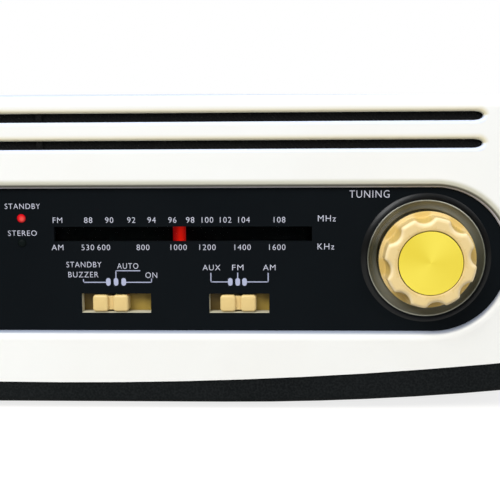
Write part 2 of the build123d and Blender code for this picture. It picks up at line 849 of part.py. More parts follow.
# Red pointer: blade in the window, arm over the plate, carriage on the rail
with BuildPart() as dial_pointer:
    arm_bottom = dial_height + (dial_opening + 6) / 2 + fit_clearance + 0.4
    arm_top = arm_bottom + 2
    with BuildSketch(at_depth(pointer_front)):
        with Locations((pointer_rest, (dial_bottom - 0.5 + arm_top) / 2)):
            Rectangle(pointer_width, arm_top - dial_bottom + 0.5)
    extrude(amount=-pointer_thickness)
    with BuildSketch(at_depth(pointer_front)):
        with Locations((pointer_rest, (arm_bottom + arm_top) / 2)):
            Rectangle(pointer_width, arm_top - arm_bottom)
    extrude(amount=-(rail_depth - pointer_front))
    with BuildSketch(at_depth(rail_depth - 2.5)):
        with Locations((pointer_rest, (cord_line + cord_size + 0.3 + rail_height + 2.2) / 2)):
            Rectangle(carriage_length, rail_height + 2.2 - cord_line - cord_size - 0.3)
    extrude(amount=-(cord_depth - rail_depth + 3.0))
    with BuildSketch(Plane.YZ.offset(pointer_rest - carriage_length)):
        with Locations((front_y + rail_depth, rail_height)):
            Circle(rail_radius + running_clearance)
    extrude(amount=2 * carriage_length, mode=Mode.SUBTRACT)
finish(dial_pointer, "dial_pointer")

# Steel rail for the pointer
rail_left = pointer_rest - pointer_travel_left - carriage_length / 2 - rail_bracket_gap
rail_right = pointer_rest + pointer_travel_right + carriage_length / 2 + rail_bracket_gap
with BuildPart() as pointer_rail:
    with BuildSketch(Plane.YZ.offset(rail_left)):
        with Locations((front_y + rail_depth, rail_height)):
            Circle(rail_radius)
    extrude(amount=rail_right - rail_left)
finish(pointer_rail, "pointer_rail")

# Steel chassis plate that carries the dial drive
with BuildPart() as dial_chassis:
    with BuildSketch(at_depth(chassis_depth)):
        with Locations(((chassis_left + chassis_right) / 2, (chassis_bottom + chassis_top) / 2)):
            RectangleRounded(chassis_right - chassis_left, chassis_top - chassis_bottom, 4)
        with Locations((knob_position, knob_axis_height)):
            Circle(bush_radius + seat_clearance, mode=Mode.SUBTRACT)
        with Locations((drum_position, drum_centre_height)):
            Circle(shaft_radius + 2 * fit_clearance, mode=Mode.SUBTRACT)
    extrude(amount=-chassis_thickness)
    for across, height in standoff_places:
        with BuildSketch(at_depth(panel_back)):
            with Locations((across, height)):
                Circle(standoff_radius)
        extrude(amount=-(chassis_depth - panel_back))
    for across in (rail_left + rail_bracket_width / 2, rail_right - rail_bracket_width / 2):
        with BuildSketch(at_depth(rail_depth - 2.5)):
            with Locations((across, rail_height)):
                Rectangle(rail_bracket_width, 2 * rail_radius + 2.4)
        extrude(amount=-(chassis_depth - rail_depth + 2.5))
    with BuildSketch(Plane.YZ.offset(rail_left)):
        with Locations((front_y + rail_depth, rail_height)):
            Circle(rail_radius + seat_clearance)
    extrude(amount=rail_right - rail_left, mode=Mode.SUBTRACT)
    for across in (idler_left_position, idler_right_position):
        with BuildSketch(at_depth(cord_depth - idler_width / 2 - 0.6)):
            with Locations((across, idler_height)):
                Circle(idler_pin_radius)
        extrude(amount=-(chassis_depth - cord_depth + idler_width / 2 + 0.6))
        with BuildSketch(at_depth(cord_depth + idler_width / 2 + fit_clearance)):
            with Locations((across, idler_height)):
                Circle(2 * idler_pin_radius)
        extrude(amount=-(chassis_depth - cord_depth - idler_width / 2 - fit_clearance))
finish(dial_chassis, "dial_chassis")

groove = cord_size + 2 * fit_clearance


def make_pulley(name, across, height, radius, width, bore):
    """A grooved pulley: the cord lies on its radius, between two rims."""
    with BuildPart() as pulley:
        with BuildSketch(at_depth(cord_depth - width / 2)):
            with Locations((across, height)):
                Circle(radius + cord_size + 0.4)
        extrude(amount=-width)
        with BuildSketch(at_depth(cord_depth - groove / 2)):
            with Locations((across, height)):
                Circle(radius + cord_size + 1)
                Circle(radius - seat_clearance, mode=Mode.SUBTRACT)
        extrude(amount=-groove, mode=Mode.SUBTRACT)
        if bore:
            with BuildSketch(at_depth(cord_depth - width / 2)):
                with Locations((across, height)):
                    Circle(bore)
            extrude(amount=-width, mode=Mode.SUBTRACT)
        else:
            with BuildSketch(at_depth(cord_depth)):
                with Locations((across, height)):
                    Circle(shaft_radius)
            extrude(amount=-(chassis_depth + chassis_thickness + 6 - cord_depth))
            with BuildSketch(at_depth(cord_depth - width / 2)):
                with Locations((across, height)):
                    with PolarLocations(radius * 0.6, 3):
                        Circle(radius * 0.22)
            extrude(amount=-width, mode=Mode.SUBTRACT)
    finish(pulley, name)


idler_bore = idler_pin_radius + running_clearance
make_pulley("left_idler", idler_left_position, idler_height, idler_radius, idler_width, idler_bore)
make_pulley("right_idler", idler_right_position, idler_height, idler_radius, idler_width, idler_bore)
make_pulley("tuning_drum", drum_position, drum_centre_height, drum_radius, drum_width, 0)

# Dial cord: one loop round the spindle, the drum and both idlers
cord_circles = (
    (idler_left_position, idler_height, idler_radius),
    (idler_right_position, idler_height, idler_radius),
    (knob_position, knob_axis_height, shaft_radius),
    (drum_position, drum_centre_height, drum_radius),
)
with BuildPart() as dial_cord:
    with BuildSketch(at_depth(cord_depth - cord_size / 2)):
        with BuildLine():
            for across, height, radius in cord_circles:
                CenterArc((across, height), radius + seat_clearance + cord_size, 0, 360)
        make_hull()
        with BuildLine(mode=Mode.PRIVATE) as inner_loop:
            for across, height, radius in cord_circles:
                CenterArc((across, height), radius + seat_clearance, 0, 360)
        make_hull(inner_loop.edges(), mode=Mode.SUBTRACT)
    extrude(amount=-cord_size)
finish(dial_cord, "dial_cord")

# Tuning capacitor behind the chassis plate
with BuildPart() as tuning_capacitor:
    with BuildSketch(at_depth(chassis_depth + chassis_thickness)):
        with Locations((drum_position, drum_centre_height)):
            RectangleRounded(gang_size, gang_size, 1)
            Circle(shaft_radius + running_clearance, mode=Mode.SUBTRACT)
    extrude(amount=-7)
    with BuildSketch(at_depth(chassis_depth + chassis_thickness + 7)):
        with Locations((drum_position, drum_centre_height)):
            RectangleRounded(gang_size, gang_size, 1)
    extrude(amount=-(gang_thickness - 7))
finish(tuning_capacitor, "tuning_capacitor")


def make_slider(name, cap_centre, window_centre, window_length, travel_left, travel_right):
    """A slide-switch button: two rounded lobes on a plate that always covers its window."""
    plate_left = window_centre - window_length / 2 - slider_plate_overlap - travel_right
    plate_right = window_centre + window_length / 2 + slider_plate_overlap + travel_left
    face = panel_face - cap_proud
    body_front = slider_back + slider_clearance
    body_step = board_depth - 1.0
    lobe_length = (cap_length - cap_notch_width) / 2
    with BuildPart() as slider:
        for side in (-1, 1):
            with BuildSketch(at_depth(face)):
                with Locations((cap_centre + side * (cap_length - lobe_length) / 2, switch_height)):
                    RectangleRounded(lobe_length, cap_height, cap_corner_radius)
            extrude(amount=-(slider_front - face))
        lobe_faces = slider.faces().sort_by(Axis.Y)[:2]
        fillet([edge for lobe in lobe_faces for edge in lobe.edges()], cap_edge_radius)
        with BuildSketch(at_depth(face + cap_notch_depth)):
            with Locations((cap_centre, switch_height)):
                Rectangle(cap_notch_width + 2 * cap_corner_radius, cap_height - 2 * cap_edge_radius)
        extrude(amount=-(slider_front - face - cap_notch_depth))
        with BuildSketch(at_depth(slider_front)):
            with Locations(((plate_left + plate_right) / 2, switch_height)):
                Rectangle(plate_right - plate_left, switch_opening + 2 * slider_plate_overlap)
        extrude(amount=-slider_plate_thickness)
        with BuildSketch(at_depth(slider_back)):
            with Locations((cap_centre, switch_height)):
                Rectangle(lever_width, lever_width)
        extrude(amount=-(body_step - slider_back - slider_clearance))
    finish(slider, name + "_cap")
    slot_left = cap_centre - travel_left - lever_width / 2 - slider_clearance
    slot_right = cap_centre + travel_right + lever_width / 2 + slider_clearance
    with BuildPart() as body:
        with BuildSketch(at_depth(body_front)):
            with Locations((window_centre, switch_height)):
                Rectangle(switch_body_length, switch_body_height)
            with Locations(((slot_left + slot_right) / 2, switch_height)):
                Rectangle(slot_right - slot_left, lever_width + 2 * slider_clearance, mode=Mode.SUBTRACT)
        extrude(amount=-(body_step - body_front))
        with BuildSketch(at_depth(body_step)):
            with Locations((window_centre, switch_height)):
                Rectangle(switch_body_length, switch_body_height)
        extrude(amount=-(board_depth - body_step))
    finish(body, name)


make_slider("mode_switch", mode_cap_centre, mode_window_centre, mode_window_length, 0.0, 2 * mode_step)
make_slider(
    "source_switch", source_cap_centre, source_window_centre, source_window_length, source_step, source_step
)


def make_lamp(name, height):
    """A 3 mm lamp: domed lens with a flange behind the panel, and two legs to the board."""
    with BuildPart() as lamp:
        with BuildSketch(at_depth(panel_face - lamp_proud + lamp_radius * 0.5)):
            with Locations((lamp_position, height)):
                Circle(lamp_radius)
        extrude(amount=-(panel_back - panel_face + lamp_proud - lamp_radius * 0.5 + 2))
        dome_base = panel_face - lamp_proud + lamp_radius * 0.5
        with BuildSketch(Plane(origin=(lamp_position, front_y + dome_base, height),
                               x_dir=(1, 0, 0), z_dir=(0, 0, 1))):
            with BuildLine():
                ThreePointArc(
                    (lamp_radius, 0), (lamp_radius * 0.7071, -lamp_radius * 0.3536), (0, -lamp_radius * 0.5)
                )
                Line((0, -lamp_radius * 0.5), (0, 0))
                Line((0, 0), (lamp_radius, 0))
            make_face()
        revolve(axis=bore_axis(lamp_position, height))
        with BuildSketch(at_depth(panel_back)):
            with Locations((lamp_position, height)):
                Circle(lamp_flange_radius)
        extrude(amount=-1)
        with BuildSketch(at_depth(panel_back + 2)):
            with Locations((lamp_position - 0.75, height), (lamp_position + 0.75, height)):
                Rectangle(0.5, 0.5)
        extrude(amount=-(board_depth - panel_back - 2))
    finish(lamp, name)


make_lamp("standby_lamp", lamp_heights[0])
make_lamp("stereo_lamp", lamp_heights[1])

# Clock window and the display behind it
with BuildPart() as clock_window:
    with BuildSketch(at_depth(panel_back)):
        with Locations((clock_centre, clock_height)):
            Rectangle(clock_window_length + lens_margin, clock_window_height + lens_margin)
    extrude(amount=-lens_thickness)
finish(clock_window, "clock_window")

with BuildPart() as clock_display:
    with BuildSketch(at_depth(lens_back)):
        with Locations((clock_centre, clock_height)):
            Rectangle(clock_window_length, clock_window_height)
    extrude(amount=-(board_depth - lens_back))
finish(clock_display, "clock_display")

# Four push buttons under the clock, each with a flange behind the panel and a stem
button_reach = board_depth - 2.5 - button_travel - fit_clearance
for count, across in enumerate(button_positions, start=1):
    with BuildPart() as button:
        with BuildSketch(at_depth(panel_face - button_proud)):
            with Locations((across, button_height)):
                RectangleRounded(button_length, button_width, button_rounding)
        extrude(amount=-(panel_back - panel_face + button_proud + fit_clearance))
        fillet(button.faces().sort_by(Axis.Y)[0].edges(), 0.5)
        with BuildSketch(at_depth(panel_back + fit_clearance)):
            with Locations((across, button_height)):
                Rectangle(button_length + 2 * button_flange, button_width + 2 * button_flange)
        extrude(amount=-button_flange_thickness)
        with BuildSketch(at_depth(panel_back + fit_clearance + button_flange_thickness)):
            with Locations((across, button_height)):
                Circle(1.5)
        extrude(amount=-(button_reach - panel_back - fit_clearance - button_flange_thickness))
    finish(button, f"clock_button_{count}")

# Control board with the push switches under the buttons
with BuildPart() as control_board:
    with BuildSketch(at_depth(board_depth)):
        with Locations(((board_left + board_step) / 2, (board_bottom + board_top) / 2)):
            Rectangle(board_step - board_left, board_top - board_bottom)
        with Locations(((board_step + board_right) / 2, (board_bottom + board_step_top) / 2)):
            Rectangle(board_right - board_step, board_step_top - board_bottom)
    extrude(amount=-board_thickness)
    for across in button_positions:
        with BuildSketch(at_depth(board_depth - 2.5)):
            with Locations((across, button_height)):
                RectangleRounded(6, 6, 0.8)
        extrude(amount=-2.5)
finish(control_board, "control_board")

# Woven black strip behind the sound slots, with a small upright rib in each slot
with BuildPart() as slot_mesh:
    with BuildSketch(at_depth(wall)):
        with Locations((0, sum(slot_heights) / 2)):
            Rectangle(2 * mesh_half_length, mesh_height)
    extrude(amount=-mesh_thickness)
    for slot_centre in slot_heights:
        with BuildSketch(at_depth(slot_rib_setback)):
            with Locations((slot_rib_position, slot_centre)):
                Rectangle(slot_rib_width, slot_height - 2 * fit_clearance)
        extrude(amount=-(wall - slot_rib_setback))
finish(slot_mesh, "slot_mesh")


def make_speaker(name, across):
    """A long narrow speaker: frame with basket, coned diaphragm and round magnet."""
    plate = wall + mesh_thickness
    basket_length = speaker_length - 2 * speaker_basket_inset
    basket_width = speaker_width - 2
    inner_length = basket_length - 2 * speaker_wall
    inner_width = basket_width - 2 * speaker_wall
    cone_length = basket_length - 2 * cone_margin
    cone_width = basket_width - cone_margin
    bottom = plate + speaker_plate + speaker_basket_depth
    with BuildPart() as frame:
        with BuildSketch(at_depth(plate)):
            with Locations((across, speaker_height)):
                RectangleRounded(speaker_length, speaker_width, 2)
                SlotOverall(cone_length, cone_width, mode=Mode.SUBTRACT)
                with GridLocations(speaker_length - 6, speaker_width - 6, 2, 2):
                    Circle(1.2, mode=Mode.SUBTRACT)
        extrude(amount=-speaker_plate)
        with BuildSketch(at_depth(plate + speaker_plate)):
            with Locations((across, speaker_height)):
                SlotOverall(basket_length, basket_width)
                SlotOverall(inner_length, inner_width, mode=Mode.SUBTRACT)
        extrude(amount=-speaker_basket_depth)
        with BuildSketch(at_depth(bottom)):
            with Locations((across, speaker_height)):
                SlotOverall(basket_length, basket_width)
        extrude(amount=-speaker_wall)
    finish(frame, name + "_speaker_frame")
    with BuildPart() as cone:
        for shrink in (0.0, cone_thickness):
            with BuildSketch(at_depth(plate + speaker_plate - cone_thickness - shrink * 0.01)):
                with Locations((across, speaker_height)):
                    SlotOverall(cone_length - 0.4 - 2 * shrink, cone_width - 0.4 - 2 * shrink)
            with BuildSketch(at_depth(plate + speaker_plate + cone_dish - shrink)):
                with Locations((across, speaker_height)):
                    SlotOverall(cone_middle_length - 2 * shrink, cone_middle_width - 2 * shrink)
            loft(ruled=True, mode=Mode.SUBTRACT if shrink else Mode.ADD)
        with BuildSketch(at_depth(plate + speaker_plate + cone_dish)):
            with Locations((across, speaker_height)):
                Circle(cone_middle_width / 2)
        extrude(amount=-(speaker_basket_depth - cone_dish))
    finish(cone, name + "_speaker_cone")
    with BuildPart() as magnet:
        with BuildSketch(at_depth(bottom + speaker_wall)):
            with Locations((across, speaker_height)):
                Circle(magnet_radius)
        extrude(amount=-magnet_thickness)
    finish(magnet, name + "_speaker_magnet")


make_speaker("left", -speaker_position)
make_speaker("right", speaker_position)

# Main board on its posts
with BuildPart() as main_board:
    with BuildSketch(Plane.XY.offset(main_board_height)):
        with Locations(
            (
                (main_board_left + main_board_right) / 2,
                front_y + (main_board_front_depth + main_board_back_depth) / 2,
            )
        ):
            Rectangle(main_board_right - main_board_left, main_board_back_depth - main_board_front_depth)
    extrude(amount=board_thickness)
finish(main_board, "main_board")

board_level = main_board_height + board_thickness
with BuildPart() as board_capacitors:
    for across, depth, radius, tall in can_places:
        with BuildSketch(Plane.XY.offset(board_level)):
            with Locations((across, front_y + depth)):
                Circle(radius)
        extrude(amount=tall)
finish(board_capacitors, "board_capacitors")

with BuildPart() as board_chips:
    for across, depth, length, width in chip_places:
        with BuildSketch(Plane.XY.offset(board_level)):
            with Locations((across, front_y + depth)):
                Rectangle(length, width)
        extrude(amount=chip_height)
finish(board_chips, "board_chips")

# Transformer: laminated core with a window on each side of its middle limb, and the coil round it
with BuildPart() as transformer_core:
    opening_length = core_length / 2 - core_limb * 1.3
    opening_height = core_height - core_limb * 1.6
    with BuildSketch(Plane.XZ.offset(-(front_y + transformer_depth - core_width / 2))):
        with Locations((transformer_position, main_board_height + core_height / 2)):
            Rectangle(core_length, core_height)
            with Locations((-(core_length / 4), 0), (core_length / 4, 0)):
                Rectangle(opening_length, opening_height, mode=Mode.SUBTRACT)
    extrude(amount=-core_width)
finish(transformer_core, "transformer_core")

with BuildPart() as transformer_coil:
    limb = core_length / 2 - opening_length
    coil_height = opening_height - 2 * coil_clearance
    with BuildSketch(Plane.XY.offset(main_board_height + core_height / 2 - coil_height / 2)):
        with Locations((transformer_position, front_y + transformer_depth)):
            RectangleRounded(coil_width - 6, coil_width, 3)
            Rectangle(limb + 2 * coil_clearance, core_width + 2 * coil_clearance, mode=Mode.SUBTRACT)
    extrude(amount=coil_height)
finish(transformer_coil, "transformer_coil")

# Ferrite rod aerial for medium wave, with its coil
with BuildPart() as ferrite_rod:
    with BuildSketch(Plane.YZ.offset(ferrite_position - ferrite_length / 2)):
        with Locations((front_y + ferrite_depth, ferrite_height)):
            Circle(ferrite_radius)
    extrude(amount=ferrite_length)
finish(ferrite_rod, "ferrite_rod")

with BuildPart() as ferrite_coil:
    with BuildSketch(Plane.YZ.offset(ferrite_position + ferrite_bracket_span / 4 - ferrite_coil_length / 2)):
        with Locations((front_y + ferrite_depth, ferrite_height)):
            Circle(ferrite_coil_radius)
            Circle(ferrite_radius + seat_clearance, mode=Mode.SUBTRACT)
    extrude(amount=ferrite_coil_length)
finish(ferrite_coil, "ferrite_coil")

# Two-pin mains socket in the back panel
with BuildPart() as mains_inlet:
    with BuildSketch(at_depth(body_depth)):
        with Locations((inlet_position, socket_height)):
            Rectangle(inlet_body_length, inlet_body_height)
    extrude(amount=inlet_body_depth)
    with BuildSketch(at_depth(body_depth)):
        with Locations((inlet_position, socket_height)):
            RectangleRounded(inlet_flange_length, inlet_flange_height, 2)
    extrude(amount=-inlet_flange_thickness)
    with BuildSketch(at_depth(body_depth + inlet_flange_thickness)):
        with Locations((inlet_position, socket_height)):
            SlotOverall(inlet_cavity_length, inlet_cavity_height)
    extrude(amount=inlet_cavity_depth, mode=Mode.SUBTRACT)
    with BuildSketch(at_depth(body_depth + inlet_flange_thickness - inlet_cavity_depth)):
        with Locations((inlet_position, socket_height)):
            with GridLocations(inlet_pin_pitch, 0, 2, 1):
                Circle(inlet_pin_radius)
    extrude(amount=-inlet_pin_length)
finish(mains_inlet, "mains_inlet")

# Round line-in jack
with BuildPart() as line_jack:
    with BuildSketch(at_depth(body_depth)):
        with Locations((jack_position, socket_height)):
            Circle(jack_body_radius)
    extrude(amount=jack_body_depth)
    with BuildSketch(at_depth(body_depth)):
        with Locations((jack_position, socket_height)):
            Circle(jack_flange_radius)
    extrude(amount=-jack_flange_thickness)
    with BuildSketch(at_depth(body_depth + jack_flange_thickness)):
        with Locations((jack_position, socket_height)):
            Circle(jack_bore_radius)
    extrude(amount=jack_bore_depth, mode=Mode.SUBTRACT)
finish(line_jack, "line_jack")

# Telescopic aerial: bracket, swivel with two arms, and three tubes one inside the other
with BuildPart() as aerial_bracket:
    with BuildSketch(at_depth(body_depth)):
        with Locations((aerial_position, aerial_height)):
            Circle(aerial_bracket_radius)
    extrude(amount=-aerial_bracket_thickness)
    with BuildSketch(at_depth(body_depth)):
        with Locations((aerial_position, aerial_height)):
            Circle(aerial_pin_radius)
    extrude(amount=-(aerial_bracket_thickness + aerial_gap + aerial_swivel_base))
finish(aerial_bracket, "aerial_bracket")

swivel_front = body_depth + aerial_bracket_thickness + aerial_gap
with BuildPart() as aerial_swivel:
    with BuildSketch(at_depth(swivel_front)):
        with Locations((aerial_position, aerial_height)):
            Circle(aerial_swivel_radius)
            Circle(aerial_pin_radius + running_clearance, mode=Mode.SUBTRACT)
    extrude(amount=-aerial_swivel_base)
    for side in (-1, 1):
        arm_level = aerial_height + side * (aerial_eye_height / 2 + aerial_gap + aerial_arm_thickness / 2)
        with BuildSketch(Plane.XY.offset(arm_level - aerial_arm_thickness / 2)):
            with Locations((aerial_position, back_y + aerial_stand_off)):
                Circle(aerial_eye_radius + aerial_arm_margin)
            arm_front = back_y + aerial_bracket_thickness + aerial_gap + aerial_swivel_base / 2
            with Locations((aerial_position, (arm_front + back_y + aerial_stand_off) / 2)):
                Rectangle(2 * (aerial_eye_radius + aerial_arm_margin), back_y + aerial_stand_off - arm_front)
        extrude(amount=aerial_arm_thickness)
    with BuildSketch(Plane.XY.offset(aerial_height - aerial_eye_height / 2 - aerial_arm_thickness)):
        with Locations((aerial_position, back_y + aerial_stand_off)):
            Circle(aerial_pin_radius)
    extrude(amount=aerial_eye_height + 2 * aerial_arm_thickness)
finish(aerial_swivel, "aerial_swivel")

tube_start = aerial_position - aerial_eye_radius - aerial_arm_margin - aerial_end_gap
tube_radii = []
tube_radius = aerial_tube_radius
for count in range(3):
    tube_radii.append(tube_radius)
    tube_radius = tube_radius - aerial_tube_wall - aerial_step_clearance
aerial_plane_y = back_y + aerial_stand_off

with BuildPart() as aerial_tube_1:
    with BuildSketch(Plane.YZ.offset(tube_start)):
        with Locations((aerial_plane_y, aerial_height)):
            Circle(tube_radii[0])
            Circle(tube_radii[0] - aerial_tube_wall, mode=Mode.SUBTRACT)
    extrude(amount=-aerial_length)
    with BuildSketch(Plane.YZ.offset(tube_start - 2)):
        with Locations((aerial_plane_y, aerial_height)):
            Circle(tube_radii[0] - aerial_gap)
    extrude(amount=2)
    with BuildSketch(Plane.XY.offset(aerial_height - aerial_eye_height / 2)):
        with Locations((aerial_position, aerial_plane_y)):
            Circle(aerial_eye_radius)
        with Locations(((aerial_position + tube_start - 1) / 2, aerial_plane_y)):
            Rectangle(aerial_position - tube_start + 1, 1.6 * aerial_eye_radius)
        with Locations((aerial_position, aerial_plane_y)):
            Circle(aerial_pin_radius + running_clearance, mode=Mode.SUBTRACT)
    extrude(amount=aerial_eye_height)
finish(aerial_tube_1, "aerial_tube_1")

with BuildPart() as aerial_tube_2:
    with BuildSketch(Plane.YZ.offset(tube_start - 3)):
        with Locations((aerial_plane_y, aerial_height)):
            Circle(tube_radii[1])
            Circle(tube_radii[1] - aerial_tube_wall, mode=Mode.SUBTRACT)
    extrude(amount=-(aerial_length - 1))
finish(aerial_tube_2, "aerial_tube_2")

with BuildPart() as aerial_tube_3:
    with BuildSketch(Plane.YZ.offset(tube_start - 4)):
        with Locations((aerial_plane_y, aerial_height)):
            Circle(tube_radii[2])
            Circle(tube_radii[2] - aerial_tube_wall, mode=Mode.SUBTRACT)
    extrude(amount=-(aerial_length + 1))
    with BuildSketch(Plane.YZ.offset(tube_start - 5 - aerial_length)):
        with Locations((aerial_plane_y, aerial_height)):
            Circle(aerial_tip_radius)
    extrude(amount=-aerial_tip_length)
    fillet(aerial_tube_3.faces().sort_by(Axis.X)[0].edges(), 1.2)
finish(aerial_tube_3, "aerial_tube_3")
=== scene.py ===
"""Looks for a low, wide table radio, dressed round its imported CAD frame.

Every size below is in millimetres and becomes metres when a mesh is written. +Z is up, the front
faces -Y and X runs along the width. A depth is counted backwards from the flat front face.
"""
import logging
import math
from collections.abc import Sequence
from dataclasses import dataclass
from functools import cached_property

import bpy
import numpy as np
from mathutils import Matrix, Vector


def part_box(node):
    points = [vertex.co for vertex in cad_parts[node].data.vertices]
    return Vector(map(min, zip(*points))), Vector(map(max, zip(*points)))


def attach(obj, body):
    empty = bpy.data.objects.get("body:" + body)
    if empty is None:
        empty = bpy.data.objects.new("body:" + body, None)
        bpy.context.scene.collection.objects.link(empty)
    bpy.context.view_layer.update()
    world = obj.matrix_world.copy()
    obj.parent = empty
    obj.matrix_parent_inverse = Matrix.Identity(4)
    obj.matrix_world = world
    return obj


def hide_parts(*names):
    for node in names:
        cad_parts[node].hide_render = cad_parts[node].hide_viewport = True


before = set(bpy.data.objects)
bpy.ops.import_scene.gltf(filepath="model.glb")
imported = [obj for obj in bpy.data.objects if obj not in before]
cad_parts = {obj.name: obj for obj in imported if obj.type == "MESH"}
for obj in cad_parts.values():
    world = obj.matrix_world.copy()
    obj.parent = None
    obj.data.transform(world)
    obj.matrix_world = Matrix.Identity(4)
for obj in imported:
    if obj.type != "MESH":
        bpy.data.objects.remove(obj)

logging.basicConfig(level=logging.INFO, format="%(message)s")
LOG = logging.getLogger("radio")

MM = 0.001
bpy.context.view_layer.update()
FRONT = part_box("front_shell")[0].y / MM
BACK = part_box("back_panel")[1].y / MM
PANEL = FRONT + 2.5
KNOB_ACROSS = 126.75
KNOB_HEIGHT = 54.0
SWITCH_HEIGHT = 38.0
OPENING_CENTRE = 52.9
OPENING_HALF_LENGTH = 154.8
OPENING_HALF_HEIGHT = 25.5
QUARTER = np.pi / 2
WHITE = (1.0, 1.0, 1.0, 1.0)
UNLIT = (0.0, 0.0, 0.0, 1.0)

Colour = tuple[int, int, int]
Pair = tuple[float, float]
Point = tuple[float, float, float]
Socket = bpy.types.NodeSocket
Node = bpy.types.Node
Tree = bpy.types.NodeTree

DUST_COLOUR: Colour = (190, 186, 176)


def linear(colour: Colour) -> tuple[float, float, float, float]:
    """Turns an sRGB colour of 0 to 255 into the linear one, with an alpha of 1, that shaders take."""
    parts = np.array(colour) / 255.0
    values = np.where(parts <= 0.04045, parts / 12.92, ((parts + 0.055) / 1.055) ** 2.4)
    return (*(float(v) for v in values), 1.0)


def metres(point: Point) -> Point:
    """Turns a point in millimetres into metres."""
    return tuple(c * MM for c in point)


# Meshes


@dataclass
class Surface:
    """Points and faces of one open or closed surface, in millimetres."""

    points: np.ndarray
    faces: list[tuple[int, ...]]
    smooth: bool = True


def grid(points: np.ndarray, closed: bool = True, flip: bool = True) -> Surface:
    """Joins a grid of points with four-sided faces.

    Face (i, j) takes the points (i, j), (i, j+1), (i+1, j+1) and (i+1, j).

    Args:
        points: array of rows by columns by 3.
        closed: joins the last column to the first.
        flip: turns the faces over.

    Returns:
        The surface.
    """
    rows, columns = points.shape[:2]
    i = np.arange(rows - 1)[:, None] * columns
    j = np.arange(columns if closed else columns - 1)[None, :]
    after = (j + 1) % columns
    quads = np.stack([i + j, i + after, i + columns + after, i + columns + j], -1).reshape(-1, 4)
    if flip:
        quads = quads[:, ::-1]
    return Surface(points.reshape(-1, 3), [tuple(q) for q in quads.tolist()])


def turned(profile: np.ndarray, across: float, height: float) -> Surface:
    """Turns a profile round a line that runs from front to back.

    A profile point (radius, y) and an angle a give (across + radius sin a, y, height + radius cos a).

    Args:
        profile: array of (radius, y) rows, ordered from the middle of the front outwards.
        across: X of the line.
        height: Z of the line.

    Returns:
        The surface, its faces pointing to the front and outwards.
    """
    angle = np.linspace(0, 2 * np.pi, 192, endpoint=False)[None, :]
    radius, y = profile[:, 0][:, None], profile[:, 1][:, None]
    x, z = across + radius * np.sin(angle), height + radius * np.cos(angle)
    return grid(np.stack([x, np.broadcast_to(y, x.shape), z], -1))


def rounded_outline(half_width: float, half_height: float, radius: float, steps: int) -> np.ndarray:
    """Points round a rounded rectangle, at even turns of its edge's direction.

    A point's direction a gives the corner centre (sign of cos a, sign of sin a times the half sizes less
    the radius) plus radius times (cos a, sin a).

    Args:
        half_width: half its size along X.
        half_height: half its size along Z.
        radius: corner radius.
        steps: number of points, a multiple of 4.

    Returns:
        Array of (x, z) rows, anticlockwise as seen from the front.
    """
    angle = (np.arange(steps) + 0.5) * 2 * np.pi / steps
    x = np.sign(np.cos(angle)) * (half_width - radius) + radius * np.cos(angle)
    z = np.sign(np.sin(angle)) * (half_height - radius) + radius * np.sin(angle)
    return np.stack([x, z], -1)


def slab(middle: Pair, size: Pair, corner: float, edge: float, depths: Pair, dome: float = 0.0) -> Surface:
    """A rounded block facing the front, with a rolled front edge and a slightly domed face.

    Row by row the outline is drawn in by edge (1 - sin t) while its depth is front + edge (1 - cos t), for t
    from 0 at the face to a quarter turn at the side. The face closes in on its middle and rises by dome.

    Args:
        middle: X and Z of its middle.
        size: width and height.
        corner: corner radius.
        edge: radius of the front edge.
        depths: Y of the front face and of the back.
        dome: how far the middle of the face stands out.

    Returns:
        The block, open at its back.
    """
    steps, smallest_corner = 64, 0.05
    turn = np.linspace(0, QUARTER, 7)
    inset = np.concatenate([edge * (1 - np.sin(turn)), [0.0]])
    depth = np.concatenate([depths[0] + edge * (1 - np.cos(turn)), [depths[1]]])
    rows = []
    for i, y in zip(inset, depth):
        outline = rounded_outline(size[0] / 2 - i, size[1] / 2 - i, max(corner - i, smallest_corner), steps)
        rows.append(np.insert(outline, 1, y, axis=1))
    shrink = np.linspace(0.0, 1.0, 6)[:-1]
    face = [rows[0] * np.array([k, 1.0, k]) - np.array([0.0, dome * (1 - k * k), 0.0]) for k in shrink]
    return grid(np.stack(face + rows) + np.array([middle[0], 0.0, middle[1]]))


def joined(surfaces: Sequence[Surface]) -> Surface:
    """Puts several surfaces into one."""
    points, faces, start = [], [], 0
    for surface in surfaces:
        points.append(surface.points)
        faces += [tuple(k + start for k in face) for face in surface.faces]
        start += len(surface.points)
    return Surface(np.concatenate(points), faces, surfaces[0].smooth)


def mark(made: bpy.types.Object, name: str, values: np.ndarray) -> None:
    """Stores one number for each point of a mesh, in the mesh's order, for its material to read."""
    attribute = made.data.attributes.new(name, "FLOAT", "POINT")
    attribute.data.foreach_set("value", np.ascontiguousarray(values, dtype=np.float32).ravel())


def piece(name: str, surface: Surface, material: bpy.types.Material, body: str) -> bpy.types.Object:
    """Makes a mesh object from a surface, dresses it and lets it ride on a body.

    Args:
        name: the object's name.
        surface: points and faces in millimetres.
        material: its finish.
        body: the CAD body that it moves with.

    Returns:
        The new object, at the origin.
    """
    mesh = bpy.data.meshes.new(name)
    mesh.from_pydata((surface.points * MM).tolist(), [], surface.faces)
    mesh.polygons.foreach_set("use_smooth", np.full(len(mesh.polygons), surface.smooth))
    mesh.materials.append(material)
    mesh.update()
    made = bpy.data.objects.new(name, mesh)
    bpy.context.collection.objects.link(made)
    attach(made, body)
    LOG.info("made %s: %d faces", name, len(surface.faces))
    return made


# Shader nodes


